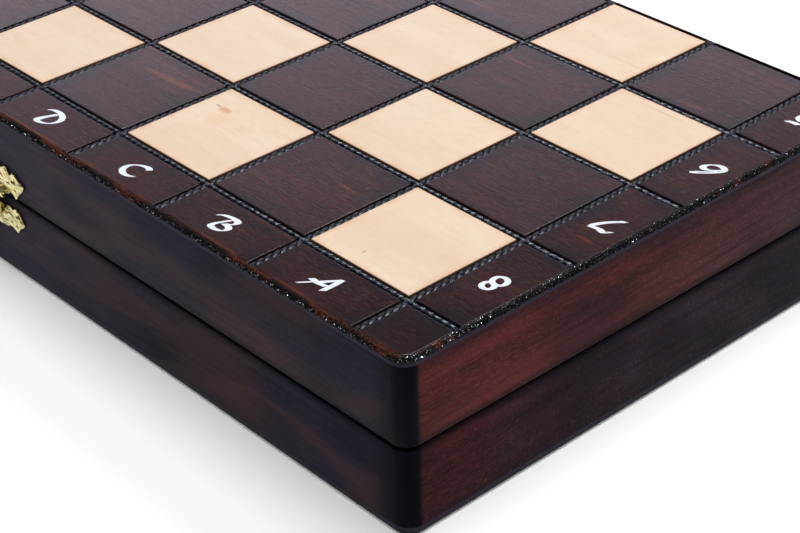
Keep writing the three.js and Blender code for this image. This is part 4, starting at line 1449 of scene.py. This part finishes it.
def hinges(look):
    for side, centre in HINGE_CENTRES.items():
        for which, level in (("lower", -1), ("upper", 1)):
            hinge_leaf(f"{side}_hinge_{which}_leaf", centre, level, look)
        builder = Builder(Matrix.Translation((centre, AXIS_Y, SEAM_Z)) @ Matrix.Rotation(math.pi / 2, 4, "Y"))
        half = HINGE_HALF
        profile = [(0.35 * MM, -half), (0.8 * MM, -half + 0.12 * MM), (1.0 * MM, -half + 0.4 * MM)]
        disc(builder, None, profile + [(r, -z) for r, z in reversed(profile)])
        pin = f"{side}_hinge_pin"
        add_object(f"{pin}_rod", builder.mesh(f"{pin}_rod"), look, BODIES["lower"], [pin])


# ---- Clasp on the front face, drawn with x along the case and the second value up from the seam ----

FRONT_Y = -DEPTH / 2
PLATE_THICKNESS = 0.7 * MM
CLASP_AXIS = (1.5 * MM, 1.4 * MM)
CLASP_KNUCKLE = 1.3 * MM
CLASP_BORE = 0.65 * MM
CLASP_SHARP = 50
NAIL_AT = (10.4, 6.0)
# Radius and height pairs of the nails and of the stud that the hasp snaps over, in millimetres.
NAIL = [(0.5, -4.2), (0.58, -3.6), (0.58, 0.02), (1.3, 0.05), (1.26, 0.25), (1.0, 0.5), (0.6, 0.66),
        (0.2, 0.72)]
STUD = [(1.9, -0.3), (2.0, 0.05), (1.75, 0.4), (1.2, 0.65), (0.5, 0.75)]
HASP_EDGE = [(2, 0), (2, -1.7), (3.6, -3.1), (3.6, -8.3), (2.2, -9.6)]
LID_PLATE = [(0, 1.2), (5.2, 1.2), (6.6, 0.9), (8, 2.4), (9.6, 2.4), (11, 0.8), (12.9, 3.2), (15.1, 5.1),
             (16, 7),
             (13.4, 8), (11.1, 9.6), (8.9, 8.3), (7.2, 10.8), (4.6, 9.4), (2.4, 10.6), (0, 10.6)]
KEEPER_PLATE = [(0, -11.2), (4.2, -10.9), (5.6, -10), (7.3, -10.2), (9.4, -11.3), (11, -9.2), (13, -8),
                (13.8, -6.8),
                (12.6, -5.6), (11.8, -4.1), (9.7, -2.7), (8.1, -3.9), (6.7, -2.9), (4.6, -3.4), (0, -3.4)]
# Raised lobes of the stamping: centre, half-length, half-width, lean in degrees, mirrored on both sides.
LID_LOBES = [(13.4, 6.2, 2.2, 0.85, 18), (10.8, 8.3, 1.6, 0.75, 80), (11.2, 2.9, 1.7, 0.65, -80),
             (6.9, 8.6, 1.6, 0.8, 95),
             (7.3, 4.4, 2.3, 1.2, 15), (3.6, 6.4, 2.1, 1.2, -20), (3.0, 8.9, 1.4, 0.7, 80)]
KEEPER_LOBES = [(11.5, -6.9, 1.8, 0.85, 0), (9.4, -9.7, 1.3, 0.7, -72), (10.2, -4.4, 1.3, 0.65, 80),
                (6.6, -9.0, 1.1, 0.7, -95), (6.4, -6.4, 2.0, 1.1, -10), (3.2, -9.4, 1.8, 0.85, 15),
                (4.2, -4.8, 1.4, 0.6, -15)]


def on_front(x, up, out=0.0):
    """Places shapes drawn in x, y with z outward onto the front face."""
    turn = Matrix.Rotation(math.pi / 2, 4, "X")
    return Matrix.Translation((x, FRONT_Y - out, SEAM_Z + up)) @ turn


def clasp_plate(name, edge, lobes):
    half = mm(edge)
    outline = half + [(-x, y) for x, y in reversed(half[1:-1])]
    outline = [(p.x, p.y) for p in fillet(outline, 0.6 * MM, 4)]
    plate = filled_outline(name, [outline], PLATE_THICKNESS, 0.2 * MM, 3)
    plate.transform(on_front(0, 0, PLATE_THICKNESS / 2 + 0.05 * MM))
    relief = Builder()
    points, faces = bead_template(16, 10)
    for x, y, length, width, degrees in lobes:
        for side in (-1, 1):
            lean = math.radians(degrees) if side > 0 else math.pi - math.radians(degrees)
            shape = Matrix.Diagonal((length * MM, width * MM, 0.42 * MM, 1))
            at = on_front(side * x * MM, y * MM, PLATE_THICKNESS) @ Matrix.Rotation(lean, 4, "Z")
            relief.add(points, faces, at @ shape)
    return [plate, relief.mesh(name)]


def nail_mesh(name, x, up):
    builder = Builder()
    disc(builder, on_front(x * MM, up * MM, PLATE_THICKNESS), mm(NAIL))
    return builder.mesh(name)


def brass_piece(name, node, parts, body, look):
    """One stamped piece of the clasp in place of its CAD node."""
    add_object(name, join_meshes(name, parts), look, body, [node], CLASP_SHARP)


def clasp(look):
    out, up = CLASP_AXIS
    axis = Matrix.Translation((0, FRONT_Y - out, SEAM_Z + up))
    parts = clasp_plate("clasp_lid_plate_leaf", LID_PLATE, LID_LOBES)
    knuckles = Builder()
    for start, end in mm([(-6, -2.3), (2.3, 6)]):
        tube(knuckles, start, end, CLASP_KNUCKLE, CLASP_BORE, axis, 20)
    parts.append(knuckles.mesh("knuckles"))
    brass_piece("clasp_lid_plate_leaf", "clasp_lid_plate", parts, "upper_box", look)

    parts = clasp_plate("clasp_keeper_leaf", KEEPER_PLATE, KEEPER_LOBES)
    stud = Builder()
    disc(stud, on_front(0, -7.3 * MM, PLATE_THICKNESS), mm(STUD))
    parts.append(stud.mesh("stud"))
    brass_piece("clasp_keeper_leaf", "clasp_keeper", parts, "lower_box", look)

    outline = [(-x, y) for x, y in HASP_EDGE] + HASP_EDGE[::-1]
    tongue = filled_outline("clasp_hasp_tongue", [fillet(mm(outline), 1.1 * MM, 4)], 0.6 * MM, 0.2 * MM, 3)
    tongue.transform(on_front(0, up, 2.1 * MM))
    relief = Builder()
    points, faces = bead_template(24, 12)
    for level, length, width in ((-5.9, 2.1, 1.35), (-5.9, 1.1, 2.6)):
        shape = Matrix.Diagonal((length * MM, width * MM, 0.3 * MM, 1))
        relief.add(points, faces, on_front(0, up + level * MM, 2.4 * MM) @ shape)
    tube(relief, -2 * MM, 2 * MM, CLASP_KNUCKLE, CLASP_BORE, axis, 20)
    brass_piece("clasp_hasp_tongue", "clasp_hasp", [tongue, relief.mesh("relief")], "hasp", look)

    rod = Builder(axis @ Matrix.Rotation(math.pi / 2, 4, "Y"))
    profile = mm([(0.2, -6.0), (0.5, -5.85)])
    disc(rod, None, profile + [(r, -z) for r, z in reversed(profile)], 16)
    add_object("clasp_pin_rod", rod.mesh("clasp_pin_rod"), look, "upper_box", ["clasp_pin"])


def nails(look):
    for where, half, level in (("lid", "upper", 1), ("keeper", "lower", -1)):
        for hand, side in (("left", -1), ("right", 1)):
            name = f"{where}_nail_{hand}"
            mesh = nail_mesh(name, side * NAIL_AT[0], level * NAIL_AT[1])
            add_object(f"{name}_dome", mesh, look, BODIES[half], [name])


# ---- Camera, floor and light ----

LENS = 93.3
CAMERA_AT = (0.4772, -0.3503, 0.3326)
CAMERA_AHEAD = (-0.63522, 0.55564, -0.53643)
CAMERA_ROLL = math.radians(-1.84)
FLOOR_HALF = 6
FLOOR_Z = -0.2 * MM


def camera():
    data = bpy.data.cameras.new("camera")
    data.lens = LENS
    data.clip_start = 0.01
    obj = link_object("camera", data)
    obj.location = CAMERA_AT
    level = Vector(CAMERA_AHEAD).to_track_quat("-Z", "Y").to_matrix()
    obj.rotation_euler = (level @ Matrix.Rotation(CAMERA_ROLL, 3, "Z")).to_euler()
    bpy.context.scene.camera = obj


def area_light(name, location, target, size, power, colour=(1, 1, 1)):
    data = bpy.data.lights.new(name, "AREA")
    data.shape = "RECTANGLE"
    data.size, data.size_y = size
    data.energy = power
    data.color = colour
    obj = link_object(name, data)
    obj.location = location
    obj.rotation_euler = (Vector(target) - Vector(location)).to_track_quat("-Z", "Y").to_euler()
    obj.visible_camera = False
    return obj


def floor_sheet():
    builder = Builder()
    corners = [(-FLOOR_HALF, -FLOOR_HALF), (FLOOR_HALF, -FLOOR_HALF), (FLOOR_HALF, FLOOR_HALF),
               (-FLOOR_HALF, FLOOR_HALF)]
    builder.add([(x, y, FLOOR_Z) for x, y in corners], [(0, 1, 2, 3)])
    floor = link_object("floor", builder.mesh("floor"))
    floor.data.materials.append(Look("floor_paper").finish(Base_Color=(0.93, 0.93, 0.94), Roughness=0.9,
                                                           Emission_Color=(1, 1, 1), Emission_Strength=0.22))


def surroundings():
    """A dim world that gets a little brighter towards the zenith."""
    world = bpy.data.worlds.new("studio")
    world.use_nodes = True
    tree = world.node_tree
    direction = tree.nodes.new("ShaderNodeTexCoord")
    parts = tree.nodes.new("ShaderNodeSeparateXYZ")
    rise = tree.nodes.new("ShaderNodeMapRange")
    rise.interpolation_type = "SMOOTHSTEP"
    for name, value in (("From Min", 0.1), ("From Max", 0.9), ("To Min", 0.10), ("To Max", 0.18)):
        rise.inputs[name].default_value = value
    tree.links.new(direction.outputs["Generated"], parts.inputs[0])
    tree.links.new(parts.outputs["Z"], rise.inputs["Value"])
    background = tree.nodes["Background"]
    background.inputs["Color"].default_value = (0.95, 0.97, 1.0, 1.0)
    tree.links.new(rise.outputs["Result"], background.inputs["Strength"])
    bpy.context.scene.world = world


def lights():
    """A key from behind, an overhead for the woods, and two lights seen only in reflections."""
    area_light("key", (0.48, 0.78, 1.06), (0.05, 0, 0.03), (0.4, 0.4), 8)
    overhead = area_light("overhead", (0.05, -0.05, 1.25), (0.05, -0.05, 0), (0.9, 0.9), 11.5)
    overhead.visible_glossy = False
    glint = area_light("glint", (0.15, 0.15, 1.2), (0.1, 0, 0), (0.4, 0.4), 20)
    glint.visible_diffuse = False
    sheen = area_light("sheen", (-0.245, 0.214, 0.15), (0.0, 0.0, 0.15), (1.5, 0.2), 1.35, (0.90, 0.83, 1.0))
    sheen.visible_diffuse = False


# ---- Build ----

camera()
floor_sheet()
surroundings()
lights()
bpy.context.scene.view_settings.view_transform = "Standard"
LOOKS = {
    "light_square": light_square_wood(),
    "dark_board": dark_board_wood("dark_square_wood", 0.4),
    "border": dark_board_wood("border_wood", 0.2),
    "case_x_painted_reflection": case_wood("x"),
    "case_y": case_wood("y"),
    "cord": cord_lacquer(),
    "edge": edge_lacquer(),
    "smooth": smooth_lacquer(),
    "label": label_paint(),
    "felt": felt_cloth("green_felt", (0.035, 0.13, 0.055), (0.012, 0.055, 0.022)),
    "pad": felt_cloth("pad_felt", (0.03, 0.11, 0.05), (0.012, 0.05, 0.022)),
    "foam": flocked_foam(),
    "light_men": turned_wood("light_men_wood", (0.74, 0.55, 0.34), (0.62, 0.42, 0.23), (0.48, 0.28, 0.13)),
    "dark_men": turned_wood("dark_men_wood", (0.075, 0.028, 0.016), (0.040, 0.014, 0.010),
                            (0.016, 0.006, 0.005)),
    "brass": brass("clasp_brass_look", (0.86, 0.77, 0.42), (0.48, 0.41, 0.16), 0.35),
    "brass_dull": brass("hinge_brass_look", (0.80, 0.62, 0.30), (0.62, 0.44, 0.18), 0.5),
}
MEN_SHAPES = man_meshes()
for half_name in ("lower", "upper"):
    board(half_name, LOOKS)
    case_walls(half_name, LOOKS)
    felt_lining(half_name, LOOKS["felt"])
    foam_insert(half_name, LOOKS["foam"])
    chessmen(half_name, MEN_SHAPES, LOOKS)
hinges(LOOKS["brass_dull"])
clasp(LOOKS["brass"])
nails(LOOKS["brass"])
